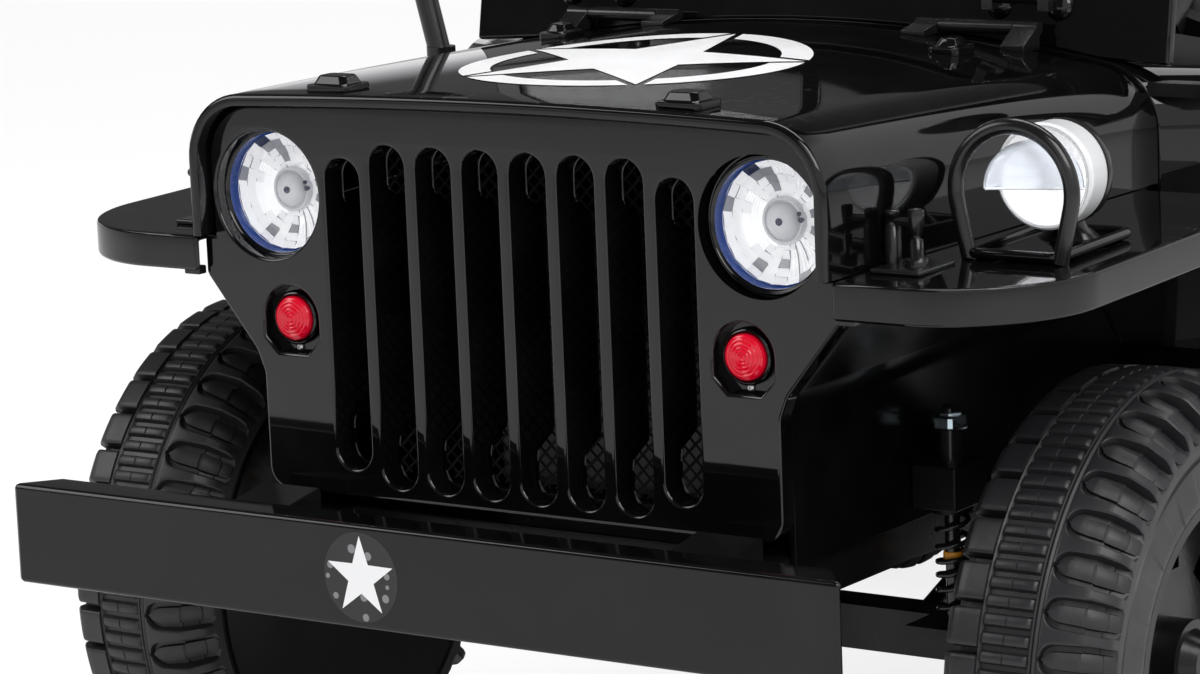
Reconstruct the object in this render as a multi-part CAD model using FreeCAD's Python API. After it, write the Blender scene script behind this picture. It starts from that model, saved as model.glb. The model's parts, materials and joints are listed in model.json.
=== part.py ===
import FreeCAD, Part
import math
import os

os.makedirs("parts", exist_ok=True)
V = FreeCAD.Vector

# Ride-on toy field car for children. Millimetres, +Z up, the nose points to -Y
# and the car's own left side is +X. The origin lies on the ground at mid length.

# Shared clearances and walls
wall = 4.0                    # moulded panel thickness
seam = 0.5                    # gap along a lid's edge
fit_gap = 0.3                 # gap round a shaft or under a seated piece
overrun = 5.0                 # how far a cutter passes a face
point_match = 0.001           # points closer than this are one

# Stance
grille_y = -524.5             # front face of the grille
axle_setback = 179.5          # front axle behind the grille face
wheelbase = 720.0
body_half = 322.0             # outer face of the body's side
wheel_stand_out = 35.0        # outer tyre face beyond the body's side
front_axle_y = grille_y + axle_setback
rear_axle_y = front_axle_y + wheelbase

# Tyres
tyre_radius = 164.0
tyre_width = 94.6
tyre_crown_half = 17.0        # raised band round the middle of the tread
tyre_groove_depth = 5.5       # lug tops down to the floor between them
tyre_shoulder_drop = 5.5      # crown band down to the lug tops
tyre_shoulder_radius = 11.0
bead_radius = 100.0           # where tyre and rim meet
sidewall_step_radius = 128.0
sidewall_step = 3.0
inner_cover_radius = 127.0
inner_cover_wall = 3.0
lug_count = 40                # along each shoulder
lug_share = 0.62              # lug length to lug pitch
lug_foot_radius = 139.0       # where the gaps end on the sidewall
lug_side_depth = 4.5
axle_height = tyre_radius
track_half = body_half + wheel_stand_out - tyre_width / 2
wheel_inner_x = track_half - tyre_width / 2

# Rims
rim_wall = 6.0
rim_lip_radius = 9.0
rim_dish_depth = 34.0
rim_web_wall = 5.0
hub_radius = 24.0
hub_reach = 14.0
hub_cap_radius = 19.0
hub_cap_height = 9.0
rim_slot_count = 8
rim_slot_width = 22.0
rim_slot_length = 30.0
rim_slot_place = 66.0
spindle_radius = 6.0
spindle_end_gap = 12.0        # spindle tip short of the outer tyre face

# Chassis rails and cross members
rail_inner = 130.5
rail_width = 43.5
rail_height = 30.0
rail_end_gap = 6.0            # rail end ahead of the body's rear face
cross_width = 34.0
cross_height = 20.0
first_cross = 34.5            # behind the grille face
link_cross = 115.0            # behind the front axle
body_cross = 69.5             # behind the body's front wall
seat_cross = 175.0            # ahead of the rear axle
last_cross = 40.0             # ahead of the body's rear face

# Front bumper channel
bumper_reach = 110.5          # bumper face ahead of the grille
bumper_half = 281.0
bumper_bottom = 209.6
bumper_height = 59.0
bumper_depth = 25.5
bumper_wall = 4.0
bumper_round = 3.0            # outer edges of the channel
bumper_end_cut = 17.0         # slanted end of each flange, along the bumper
horn_rise = 16.9              # wedge on each rail behind the bumper
rail_bottom = bumper_bottom + bumper_wall
rail_top = rail_bottom + rail_height

# Grille panel
grille_lower_half = 178.5
grille_upper_half = 218.5
grille_bottom = 254.0
grille_depth = 13.0
grille_corner = 13.0
waist_low = 323.0             # end of the straight lower side
waist_bend = 337.0
waist_bend_half = 184.0
waist_high = 380.0
slot_pitch = 32.75
slot_width = 24.5
slot_bevel = 3.0
slot_count = 8
slot_top = 461.0
slot_bottom = 261.0
outer_slot_top = 452.0
outer_slot_bottom = 270.0
mesh_wall = 3.0

# Headlamps and markers in the grille
headlamp_x = 170.0
headlamp_z = 428.5
headlamp_recess_radius = 39.5
headlamp_lens_radius = 34.5
headlamp_lens_set = 6.0
headlamp_depth = 40.0
headlamp_wall = 3.0
marker_x = 156.4
marker_z = 356.0
marker_pocket_half = 19.5
marker_pocket_drop = 20.5
marker_bezel_radius = 15.5
marker_lens_radius = 13.2
marker_depth = 16.0
marker_lens_height = 6.0

# Hood
hood_overhang = 12.0          # lip ahead of the grille
hood_length = 331.0
hood_front_half = 218.5
hood_rear_half = 245.0
hood_lip = 7.0
hood_lip_depth = 24.0
hood_corner = 40.0
hood_front_top = 492.0
hood_rear_top = 500.5
hood_front_crown = 4600.0     # radius across the top
hood_rear_crown = 1160.0
hood_front_y = grille_y - hood_overhang
hood_rear_y = hood_front_y + hood_length

# Rest blocks on the hood
front_block_length = 30.0
rear_block_length = 20.0
block_width = 25.0
block_height = 9.0
block_tier = 4.0
block_inset = 3.0
block_taper = 2.5
block_round = 4.0
front_block_x = 120.5
front_block_setback = 9.5
rear_block_x = 140.0
rear_block_setback = 261.5

# Fenders
fender_front_top = 403.0
fender_rear_top = 410.0
fender_stand_out = 16.0       # fender edge beyond the body's side
fender_overhang = 8.0
fender_corner = 78.0
fender_lip = 21.0
fender_flat_length = 298.0
fender_tail_z = 300.0
fender_y = grille_y - fender_overhang
fender_outer = body_half + fender_stand_out

# Engine bay walls and battery
bay_bottom = 238.0
bay_rear_half = 243.0
battery_length = 150.0
battery_width = 98.0
battery_height = 95.0
battery_y = -385.0
tray_wall = 5.0
tray_margin = 8.0

# Body tub
body_front_setback = 215.5    # front wall behind the front axle
body_overhang = 185.0         # rear face behind the rear axle
body_bottom = 172.0
body_front_y = front_axle_y + body_front_setback
body_rear_y = rear_axle_y + body_overhang
body_side_top = 438.0
door_setback = 3.0            # door cut behind the cowl's rear edge
door_rear_gap = 179.0         # door cut's rear edge ahead of the rear axle
door_sill_z = 300.0
door_corner = 46.0
door_slope = 24.0
rear_side_top = 440.0
rear_corner = 26.0
arch_radius = 180.0
arch_side_gap = 16.4          # wheel box wall inside the inner tyre face
arch_box_half = wheel_inner_x - arch_side_gap
floor_wall = 4.0
rail_cap = 12.0               # turned-in top edge of the sides and tail
deck_height = 8.0             # raised cargo floor
deck_gap = 4.0

# Cowl and dashboard
cowl_deck_length = 34.5
cowl_rear_top = 496.0
cowl_crown = 1900.0           # radius across the rear edge
cowl_corner = 34.0
cowl_low = 290.0
cowl_rear_y = body_front_y + cowl_deck_length
door_front_y = cowl_rear_y + door_setback
door_rear_y = rear_axle_y - door_rear_gap
rail_rear_y = body_rear_y - rail_end_gap
cross_rows = [grille_y + first_cross, front_axle_y + link_cross, body_front_y + body_cross,
              rear_axle_y - seat_cross, body_rear_y - last_cross]
dash_depth = 26.0
dash_bottom = 384.0
dash_wall = 4.0
dash_lip = 12.0
gauge_radius = 26.0
gauge_reach = 4.0
gauge_z = 444.0

# Windscreen
rake_angle = 10.0
screen_base_setback = 322.0
screen_half = 250.0
screen_wall = 9.0
sill_low = 480.0
sill_arch = 15.0
sill_arch_radius = 2400.0
sill_top = 520.0
sill_gap = 1.5
screen_length = 318.0
screen_bar = 22.0
screen_taper_angle = 1.8
screen_post = 14.0
glass_wall = 3.0
screen_corner = 26.0
knuckle_radius = 6.0
knuckle_length = 60.0
knuckle_x = 152.0
knuckle_pin_radius = 3.0
bracket_drop = 10.0
screen_base_y = grille_y + screen_base_setback
screen_fold_clear = 1.0

# Hood hinge
hinge_x = 128.0
hinge_span = 84.0
hinge_ear = 16.0
hinge_radius = 4.2
hinge_pin_radius = 2.2
hinge_leaf = 3.0
hinge_leaf_length = 20.0
hinge_back = 5.0              # pin ahead of the hood's rear edge

# Hood catches on the fenders
catch_x = 234.0
catch_width = 12.0
catch_y = -470.0
catch_length = 46.0
catch_height = 34.0
catch_base_wall = 4.0
catch_post_radius = 4.0
catch_bar_radius = 3.5
catch_handle_length = 22.0

# Spot lamp on the left fender
spot_x = 284.0
spot_base_setback = 70.0      # base plate's front edge
spot_base_length = 88.0
spot_base_width = 60.0
spot_base_wall = 4.0
spot_base_rim = 3.0
spot_setback = 108.0          # lamp's front rim
spot_z = 446.5
spot_radius = 29.5
spot_depth = 32.0
spot_wall = 3.0
spot_lens_wall = 3.0
spot_stem_radius = 6.0
spot_foot_radius = 15.0
spot_foot_height = 6.0
guard_setback = 75.0
guard_z = 443.0               # centre of the hoop's arc
guard_radius = 35.5
guard_tube_radius = 4.5
guard_tube_sides = 12
guard_lean_angle = 13.0       # legs lean inwards below the arc

# Mirrors
mirror_stand_out = 33.0       # stem beyond the windscreen's side
mirror_setback = 326.0
mirror_base_x = screen_half + mirror_stand_out
mirror_base_z = 470.0
mirror_stem_radius = 7.5
mirror_stem_length = 118.0
mirror_lean_angle = 15.0
mirror_radius = 36.0
mirror_depth = 14.0
mirror_bracket_wall = 8.0

# Steering
kingpin_gap = 37.4            # kingpin inside the inner tyre face
kingpin_x = wheel_inner_x - kingpin_gap
knuckle_barrel_radius = 14.0
knuckle_barrel_height = 56.0
kingpin_radius = 5.0
fork_wall = 9.0
fork_gap = 1.0
beam_height = 26.0
beam_width = 28.0
steer_arm_length = 55.0
steer_arm_width = 15.0
steer_arm_wall = 8.0
steer_arm_z = 144.0
ball_pin_radius = 3.0
ball_pin_play = 5.0
steer_eye_wall = 5.0
tie_rod_radius = 5.0
steer_x = 140.0
steer_setback = 90.0          # steering wheel behind the cowl's rear edge
steer_wheel_z = 492.0
steer_tilt_angle = 40.0
steer_wheel_radius = 112.0
steer_rim_radius = 8.5
steer_rim_sides = 12
steer_hub_radius = 24.0
steer_hub_depth = 20.0
steer_spoke_width = 18.0
steer_spoke_wall = 7.0
steer_spoke_count = 3
steer_shaft_radius = 8.0
steer_shaft_length = 70.0
column_radius = 14.0
column_gap = 3.0

# Springs
shock_gap = 35.0              # shock inside the kingpin
shock_x = kingpin_x - shock_gap
shock_ahead = 25.0            # shock ahead of the front axle line
spring_radius = 13.0
spring_wire = 5.0
spring_turns = 6
spring_top = 236.0
tower_height = 26.0
tower_width = 36.0
shock_rod_radius = 5.0
shock_nut_half = 9.8
shock_nut_height = 9.0
shock_rod_above = 18.0
spring_seat_wall = 6.0
rear_spring_radius = 14.0
axle_tube_radius = 13.0
gearbox_length = 44.0
gearbox_radius = 40.0
motor_radius = 19.0
motor_length = 50.0

# Seats
seat_gap = 15.0               # seat's inner edge from the centre line
seat_width = 206.0
seat_setback = 135.0          # seat's front behind the cowl's rear edge
seat_x = seat_gap + seat_width / 2
seat_front_y = cowl_rear_y + seat_setback
seat_depth = 208.0
seat_base_top = 316.0
seat_wall = 5.0
cushion_thick = 42.0
cushion_round = 16.0
back_height = 220.0
back_thick = 34.0
back_tilt_angle = 12.0
back_shell_wall = 10.0

# Rear fittings
spare_z = 332.0
spare_width = 70.0
spare_gap = 5.0
spare_hub_radius = 30.0
tail_lamp_inset = 40.0
tail_lamp_x = body_half - tail_lamp_inset
tail_lamp_z = 352.0
tail_lamp_radius = 21.0
tail_lamp_depth = 12.0
tail_rim = 4.0
tail_lens_height = 4.0
rear_bumper_inset = 34.0
rear_bumper_width = 112.0
rear_bumper_inner = body_half - rear_bumper_inset - rear_bumper_width
rear_bumper_depth = 36.0
lever_x = 14.0
lever_setback = 95.0          # behind the cowl's rear edge
lever_length = 130.0
lever_radius = 5.0
lever_knob_radius = 15.0
lever_boot_radius = 26.0
lever_boot_height = 20.0
pedal_x = 96.0
pedal_setback = 17.0
pedal_width = 62.0
pedal_length = 92.0
pedal_wall = 7.0
pedal_angle = 32.0


# Basic shapes
def box(x0, x1, y0, y1, z0, z1):
    return Part.makeBox(x1 - x0, y1 - y0, z1 - z0, V(x0, y0, z0))


def rod(radius, start, end):
    return Part.makeCylinder(radius, (end - start).Length, start, end - start)


def fuse(shapes):
    shapes = list(shapes)
    if len(shapes) == 1:
        return shapes[0]
    return shapes[0].multiFuse(shapes[1:]).removeSplitter()


def cut(shape, tools):
    return shape.cut(fuse(tools) if len(tools) > 1 else tools[0])


def together(shapes):
    return Part.makeCompound(list(shapes))


def mirrored(shape):
    return shape.mirror(V(0, 0, 0), V(1, 0, 0))


def both_sides(shape):
    return together([shape, mirrored(shape)])


def on_xz(y):
    return lambda a, b: V(a, y, b)


def on_yz(x):
    return lambda a, b: V(x, a, b)


def on_xy(z):
    return lambda a, b: V(a, b, z)


def corner_cut(before, here, after, radius):
    to_before = (before - here).normalize()
    to_after = (after - here).normalize()
    half_angle = to_before.getAngle(to_after) / 2
    reach = radius / math.tan(half_angle)
    middle = (to_before + to_after).normalize()
    centre = here + middle * (radius / math.sin(half_angle))
    return here + to_before * reach, centre - middle * radius, here + to_after * reach


def outline(corners, place):
    """Closed wire through corners (a, b, radius) laid out by place."""
    points = [place(a, b) for a, b, _ in corners]
    stops = []
    for i, (_, _, radius) in enumerate(corners):
        if radius:
            stops.append(corner_cut(points[i - 1], points[i], points[(i + 1) % len(points)], radius))
        else:
            stops.append((points[i],))
    edges = []
    for i, stop in enumerate(stops):
        if len(stop) > 1:
            edges.append(Part.Arc(*stop).toShape())
        following = stops[(i + 1) % len(stops)][0]
        if not stop[-1].isEqual(following, point_match):
            edges.append(Part.LineSegment(stop[-1], following).toShape())
    return Part.Wire(edges)


def plate(corners, place, depth):
    return Part.Face(outline(corners, place)).extrude(depth)


def loft(wires):
    return Part.makeLoft(wires, True, True)


def spun(profile, centre, axis):
    """Solid of revolution from (radius, height) points about axis at centre."""
    points = [V(r, 0, h) for r, h in profile]
    face = Part.Face(Part.makePolygon(points + points[:1]))
    solid = face.revolve(V(0, 0, 0), V(0, 0, 1), 360)
    solid.Placement = FreeCAD.Placement(centre, FreeCAD.Rotation(V(0, 0, 1), axis))
    return solid


def placed(shape, centre, axis):
    """Copy of a shape built about Z, set about axis at centre."""
    moved = shape.copy()
    moved.Placement = FreeCAD.Placement(centre, FreeCAD.Rotation(V(0, 0, 1), axis))
    return moved


def round_section(radius, tube, sides):
    """Many-sided section of a ring's tube, as (radius, height) points."""
    turns = [2 * math.pi * (k + 0.5) / sides for k in range(sides)]
    return [(radius + tube * math.cos(a), tube * math.sin(a)) for a in turns]


def turned(shape, centre, axis, angle):
    moved = shape.copy()
    moved.rotate(centre, axis, angle)
    return moved


def save(name, shape):
    assert shape.isValid(), name
    shape.exportStep("parts/" + name + ".step")
    print(name, len(shape.Solids), round(shape.Volume), [round(v, 1) for v in (
        shape.BoundBox.XMin, shape.BoundBox.XMax, shape.BoundBox.YMin,
        shape.BoundBox.YMax, shape.BoundBox.ZMin, shape.BoundBox.ZMax)])


def slope(start, end, share):
    return start + (end - start) * share


# Wheels: built about the X axis with the outer face towards +X
def tyre_profile(width):
    half = width / 2
    lug_top = tyre_radius - tyre_shoulder_drop
    return [
        (bead_radius, -half + inner_cover_wall),
        (inner_cover_radius, -half + inner_cover_wall),
        (inner_cover_radius, -half),
        (lug_top - tyre_shoulder_radius, -half),
        (lug_top, -half + tyre_shoulder_radius),
        (lug_top, -tyre_crown_half),
        (tyre_radius, -tyre_crown_half),
        (tyre_radius, tyre_crown_half),
        (lug_top, tyre_crown_half),
        (lug_top, half - tyre_shoulder_radius),
        (lug_top - tyre_shoulder_radius, half),
        (sidewall_step_radius, half),
        (sidewall_step_radius, half - sidewall_step),
        (bead_radius, half - sidewall_step),
    ]


def lug_gaps(width):
    """Cutters between the lugs of both shoulders, about Z."""
    half = width / 2
    low = tyre_radius - tyre_shoulder_drop - tyre_groove_depth
    high = tyre_radius + overrun
    profile = [(low, tyre_crown_half), (low, half - lug_side_depth), (lug_foot_radius, half - lug_side_depth),
               (lug_foot_radius, half + overrun), (high, half + overrun), (high, tyre_crown_half)]
    turn = 360 / lug_count
    gap = 2 * math.pi * low / lug_count * (1 - lug_share)
    cutters = []
    for side, start in ((1, 0), (-1, turn / 2)):
        corners = [(r, side * h, 0) for r, h in profile]
        cutter = plate(corners, on_xz(-gap / 2), V(0, gap, 0))
        cutters += [turned(cutter, V(0, 0, 0), V(0, 0, 1), start + turn * i) for i in range(lug_count)]
    return together(cutters)


def tyre(width):
    return spun(tyre_profile(width), V(0, 0, 0), V(0, 0, 1)).cut(lug_gaps(width))


def rim_profile(width):
    half = width / 2
    outer = half - sidewall_step
    web = outer - rim_dish_depth
    inner = -half
    well = bead_radius - rim_wall
    return [
        (0, web + hub_reach),
        (hub_radius, web + hub_reach),
        (hub_radius, web),
        (well - rim_lip_radius, web),
        (well, web + rim_lip_radius),
        (well, outer),
        (bead_radius, outer),
        (bead_radius, inner + inner_cover_wall),
        (inner_cover_radius, inner + inner_cover_wall),
        (inner_cover_radius, inner),
        (0, inner),
    ]


def rim_hollow(width):
    half = width / 2
    web = half - sidewall_step - rim_dish_depth - rim_web_wall
    well = bead_radius - rim_wall
    inner = -half + inner_cover_wall
    return [
        (hub_radius, web),
        (well - rim_lip_radius, web),
        (well, web - rim_lip_radius),
        (well, inner),
        (hub_radius, inner),
    ]


def rim_slots(width, centre, axis):
    half = width / 2
    web = half - sidewall_step - rim_dish_depth
    low = web - rim_web_wall - rim_lip_radius
    slot = box(rim_slot_place - rim_slot_length / 2, rim_slot_place + rim_slot_length / 2,
               -rim_slot_width / 2, rim_slot_width / 2, low, web + rim_lip_radius)
    spots = []
    for i in range(rim_slot_count):
        one = turned(slot, V(0, 0, 0), V(0, 0, 1), 360 * i / rim_slot_count)
        one.Placement = FreeCAD.Placement(centre, FreeCAD.Rotation(V(0, 0, 1), axis)).multiply(one.Placement)
        spots.append(one)
    return spots


def rim(width, centre, axis, bore):
    solid = spun(rim_profile(width), centre, axis)
    cutters = [spun(rim_hollow(width), centre, axis)] + rim_slots(width, centre, axis)
    if bore:
        start = centre - axis * (width / 2 + overrun)
        cutters.append(rod(bore, start, centre + axis * (width / 2 - spindle_end_gap - rim_dish_depth / 2)))
    solid = cut(solid, cutters)
    cap_base = centre + axis * (width / 2 - sidewall_step - rim_dish_depth + hub_reach)
    cap = Part.makeCone(hub_cap_radius, hub_cap_radius - hub_cap_height / 2, hub_cap_height, cap_base, axis)
    return fuse([solid, cap])


def wheels():
    sides = {"left": 1, "right": -1}
    rows = {"front": front_axle_y, "rear": rear_axle_y}
    road_tyre = tyre(tyre_width)
    for row, y in rows.items():
        for side, sign in sides.items():
            centre = V(sign * track_half, y, axle_height)
            axis = V(sign, 0, 0)
            save("tyre_" + row + "_" + side, placed(road_tyre, centre, axis))
            save("rim_" + row + "_" + side, rim(tyre_width, centre, axis, spindle_radius + fit_gap))


def spare_wheel():
    centre = V(0, body_rear_y + spare_gap + spare_width / 2, spare_z)
    axis = V(0, 1, 0)
    save("spare_tyre", placed(tyre(spare_width), centre, axis))
    save("spare_rim", rim(spare_width, centre, axis, 0))


# Chassis, bumper and axles
def rail_horn():
    front = grille_y - bumper_reach + bumper_wall
    corners = [(front, rail_top, 0), (hood_front_y, rail_top + horn_rise, 0), (hood_front_y, rail_top, 0)]
    return plate(corners, on_yz(rail_inner), V(rail_width, 0, 0))


def chassis_frame():
    front = grille_y - bumper_reach + bumper_wall
    rail = box(rail_inner, rail_inner + rail_width, front, rail_rear_y, rail_bottom, rail_top)
    rail = fuse([rail, rail_horn()])
    pieces = [rail, mirrored(rail)]
    for y in cross_rows:
        pieces.append(box(-rail_inner, rail_inner, y - cross_width / 2, y + cross_width / 2,
                          rail_top - cross_height, rail_top))
    return fuse(pieces)


def bumper_section():
    face = grille_y - bumper_reach
    top = bumper_bottom + bumper_height
    rear = face + bumper_depth
    corners = [(face, bumper_bottom, bumper_round), (face, top, bumper_round), (rear, top, 0),
               (rear, top - bumper_wall, 0), (face + bumper_wall, top - bumper_wall, 0),
               (face + bumper_wall, bumper_bottom + bumper_wall, 0), (rear, bumper_bottom + bumper_wall, 0),
               (rear, bumper_bottom, 0)]
    return plate(corners, on_yz(-bumper_half), V(2 * bumper_half, 0, 0))


def bumper_end(sign):
    face = grille_y - bumper_reach
    rear = face + bumper_depth
    outer = bumper_half + overrun
    corners = [(sign * bumper_half, face + bumper_wall, 0), (sign * outer, face + bumper_wall, 0),
               (sign * outer, rear + overrun, 0), (sign * (bumper_half - bumper_end_cut), rear + overrun, 0),
               (sign * (bumper_half - bumper_end_cut), rear, 0)]
    return plate(corners, on_xy(bumper_bottom - overrun), V(0, 0, bumper_height + 2 * overrun))


def front_bumper():
    return cut(bumper_section(), [bumper_end(1), bumper_end(-1)])


def fork_end():
    inner = kingpin_x - knuckle_barrel_radius - fork_gap - fork_wall
    outer = kingpin_x + knuckle_barrel_radius / 2
    half = knuckle_barrel_height / 2 + fork_gap
    low = axle_height - half
    high = axle_height + half
    depth = beam_width / 2
    post = box(inner, inner + fork_wall, front_axle_y - depth, front_axle_y + depth, low - fork_wall, high + fork_wall)
    ears = [box(inner, outer, front_axle_y - depth, front_axle_y + depth, z, z + fork_wall)
            for z in (low - fork_wall, high)]
    bore = rod(kingpin_radius + fit_gap, V(kingpin_x, front_axle_y, low - fork_wall - overrun),
               V(kingpin_x, front_axle_y, high + fork_wall + overrun))
    return cut(fuse([post] + ears), [bore])


def trailing_link():
    middle = rail_inner + rail_width / 2
    front = V(middle, front_axle_y, axle_height)
    rear = V(middle, front_axle_y + link_cross, rail_bottom - steer_arm_width / 2)
    eye = rod(steer_arm_width / 2, rear - V(rail_width / 2, 0, 0), rear + V(rail_width / 2, 0, 0))
    return fuse([rod(spindle_radius, front, rear), eye])


def spring_seat_top():
    return axle_height + beam_height / 2


def front_axle():
    inner = kingpin_x - knuckle_barrel_radius - fork_gap
    beam = box(-inner, inner, front_axle_y - beam_width / 2, front_axle_y + beam_width / 2,
               axle_height - beam_height / 2, spring_seat_top())
    seat = box(shock_x - tower_width / 2, inner, front_axle_y - shock_ahead - tower_width / 2, front_axle_y,
               spring_seat_top() - spring_seat_wall, spring_seat_top())
    fork = fork_end()
    link = trailing_link()
    return fuse([beam, seat, mirrored(seat), fork, mirrored(fork), link, mirrored(link)])


def knuckle_left():
    half = knuckle_barrel_height / 2
    spindle_end = track_half + tyre_width / 2 - spindle_end_gap - rim_dish_depth / 2 - overrun
    barrel = rod(knuckle_barrel_radius, V(kingpin_x, front_axle_y, axle_height - half),
                 V(kingpin_x, front_axle_y, axle_height + half))
    pin = rod(kingpin_radius, V(kingpin_x, front_axle_y, axle_height - half - fork_wall),
              V(kingpin_x, front_axle_y, axle_height + half + fork_wall))
    collar = rod(2 * spindle_radius, V(kingpin_x, front_axle_y, axle_height),
                 V(wheel_inner_x - fork_gap, front_axle_y, axle_height))
    spindle = rod(spindle_radius, V(kingpin_x, front_axle_y, axle_height), V(spindle_end, front_axle_y, axle_height))
    arm = box(kingpin_x - steer_arm_width / 2, kingpin_x + steer_arm_width / 2, front_axle_y,
              front_axle_y + steer_arm_length, steer_arm_z - steer_arm_wall / 2, steer_arm_z + steer_arm_wall / 2)
    eye_low = V(kingpin_x, front_axle_y + steer_arm_length, steer_arm_z - steer_arm_wall / 2)
    bore = ball_pin_radius + ball_pin_play
    eye = rod(bore + steer_eye_wall, eye_low, eye_low + V(0, 0, steer_arm_wall))
    hole = rod(bore, eye_low - V(0, 0, overrun), eye_low + V(0, 0, steer_arm_wall + overrun))
    return cut(fuse([barrel, pin, collar, spindle, arm, eye]), [hole])


def tie_rod():
    z = steer_arm_z - steer_arm_wall / 2 - fit_gap - tie_rod_radius
    y = front_axle_y + steer_arm_length
    bar = rod(tie_rod_radius, V(-kingpin_x - tie_rod_radius, y, z), V(kingpin_x + tie_rod_radius, y, z))
    pins = [rod(ball_pin_radius, V(x, y, z), V(x, y, steer_arm_z + steer_arm_wall)) for x in (-kingpin_x, kingpin_x)]
    return fuse([bar] + pins)


def ridged_spring(radius, wire, turns, low, high):
    """Coil drawn as stacked rounded rings about a core, from low to high."""
    pitch = (high.z - low.z) / turns
    profile = [(radius - wire, 0)]
    for i in range(turns):
        profile.append((radius - wire / 2, i * pitch))
        profile.append((radius, i * pitch + pitch / 4))
        profile.append((radius, (i + 1) * pitch - pitch / 4))
    profile.append((radius - wire / 2, turns * pitch))
    profile.append((radius - wire, turns * pitch))
    return spun([(0, 0)] + profile + [(0, turns * pitch)], low, V(0, 0, 1))


def hexagon(half, low, height):
    reach = half / math.cos(math.pi / 6)
    corners = [(low.x + reach * math.cos(math.pi * k / 3), low.y + reach * math.sin(math.pi * k / 3), 0)
               for k in range(6)]
    return plate(corners, on_xy(low.z), V(0, 0, height))


def front_shock():
    y = front_axle_y - shock_ahead
    low = V(shock_x, y, spring_seat_top())
    high = V(shock_x, y, spring_top)
    tower_top = V(shock_x, y, spring_top + tower_height)
    tower = box(grille_lower_half, shock_x + tower_width / 2, y - tower_width / 2, y + tower_width / 2,
                spring_top, spring_top + tower_height)
    rod_top = tower_top + V(0, 0, shock_rod_above)
    return fuse([ridged_spring(spring_radius, spring_wire, spring_turns, low, high), tower,
                 rod(shock_rod_radius, tower_top, rod_top + V(0, 0, shock_nut_height)),
                 hexagon(shock_nut_half, rod_top, shock_nut_height)])


def rear_spring():
    middle = rail_inner + rail_width / 2
    low = V(middle, rear_axle_y, axle_height + axle_tube_radius)
    return ridged_spring(rear_spring_radius, spring_wire, spring_turns // 2, low, V(middle, rear_axle_y, rail_bottom))


def gearbox():
    face = wheel_inner_x - fork_gap
    inner = face - gearbox_length
    housing = rod(gearbox_radius, V(inner, rear_axle_y, axle_height), V(face - gearbox_length / 2, rear_axle_y, axle_height))
    nose = rod(gearbox_radius / 2, V(inner, rear_axle_y, axle_height), V(face, rear_axle_y, axle_height))
    drop = gearbox_radius - motor_radius / 2
    motor = rod(motor_radius, V(inner - motor_length, rear_axle_y - drop, axle_height),
                V(inner, rear_axle_y - drop, axle_height))
    return [housing, nose, motor]


def rear_axle():
    end = track_half + tyre_width / 2 - spindle_end_gap - rim_dish_depth / 2 - overrun
    shaft = rod(spindle_radius, V(-end, rear_axle_y, axle_height), V(end, rear_axle_y, axle_height))
    tube_end = wheel_inner_x - fork_gap - gearbox_length
    tube = rod(axle_tube_radius, V(-tube_end, rear_axle_y, axle_height), V(tube_end, rear_axle_y, axle_height))
    middle = rail_inner + rail_width / 2
    pads = [box(x - rear_spring_radius, x + rear_spring_radius, rear_axle_y - rear_spring_radius,
                rear_axle_y + rear_spring_radius, axle_height, axle_height + axle_tube_radius)
            for x in (-middle, middle)]
    side = gearbox()
    return fuse([shaft, tube] + pads + side + [mirrored(piece) for piece in side])


# Nose: grille, lamps, hood, fenders
def grille_outline(y, top):
    corners = [(grille_lower_half, grille_bottom, grille_corner), (grille_lower_half, waist_low, 0),
               (waist_bend_half, waist_bend, 0), (grille_upper_half, waist_high, 0), (grille_upper_half, top, 0)]
    left = [(-a, b, r) for a, b, r in reversed(corners)]
    return outline(corners + left, on_xz(y))


def stadium(x, low, high, half, y):
    rise = half
    start = V(x - half, y, low + rise)
    over = V(x, y, high)
    side = V(x + half, y, high - rise)
    under = V(x, y, low)
    top = Part.Arc(V(x - half, y, high - rise), over, side).toShape()
    bottom = Part.Arc(V(x + half, y, low + rise), under, start).toShape()
    right = Part.LineSegment(side, V(x + half, y, low + rise)).toShape()
    left = Part.LineSegment(start, V(x - half, y, high - rise)).toShape()
    return Part.Wire([top, right, bottom, left])


def grille_slot(index):
    x = (index - (slot_count - 1) / 2) * slot_pitch
    outermost = index in (0, slot_count - 1)
    low = outer_slot_bottom if outermost else slot_bottom
    high = outer_slot_top if outermost else slot_top
    half = slot_width / 2
    narrow = half - slot_bevel
    flare = loft([stadium(x, low - slot_bevel, high + slot_bevel, half + slot_bevel, grille_y - slot_bevel),
                  stadium(x, low + slot_bevel, high - slot_bevel, narrow, grille_y + slot_bevel)])
    tunnel = Part.Face(stadium(x, low + slot_bevel, high - slot_bevel, narrow, grille_y)).extrude(
        V(0, grille_depth + overrun, 0))
    return [flare, tunnel]


def marker_pocket(x):
    corners = [(x - marker_pocket_half, marker_z + marker_pocket_half, marker_pocket_half),
               (x + marker_pocket_half, marker_z + marker_pocket_half, marker_pocket_half),
               (x + marker_pocket_half, marker_z - marker_pocket_drop, wall),
               (x - marker_pocket_half, marker_z - marker_pocket_drop, wall)]
    return plate(corners, on_xz(grille_y - overrun), V(0, grille_depth / 2 + overrun, 0))


def grille_plate():
    lower = Part.Face(grille_outline(grille_y, fender_front_top)).extrude(V(0, grille_depth, 0))
    upper = loft([hood_section(y, hood_lip + seam, fender_front_top) for y in (grille_y, grille_y + grille_depth)])
    return fuse([lower, upper])


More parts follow.
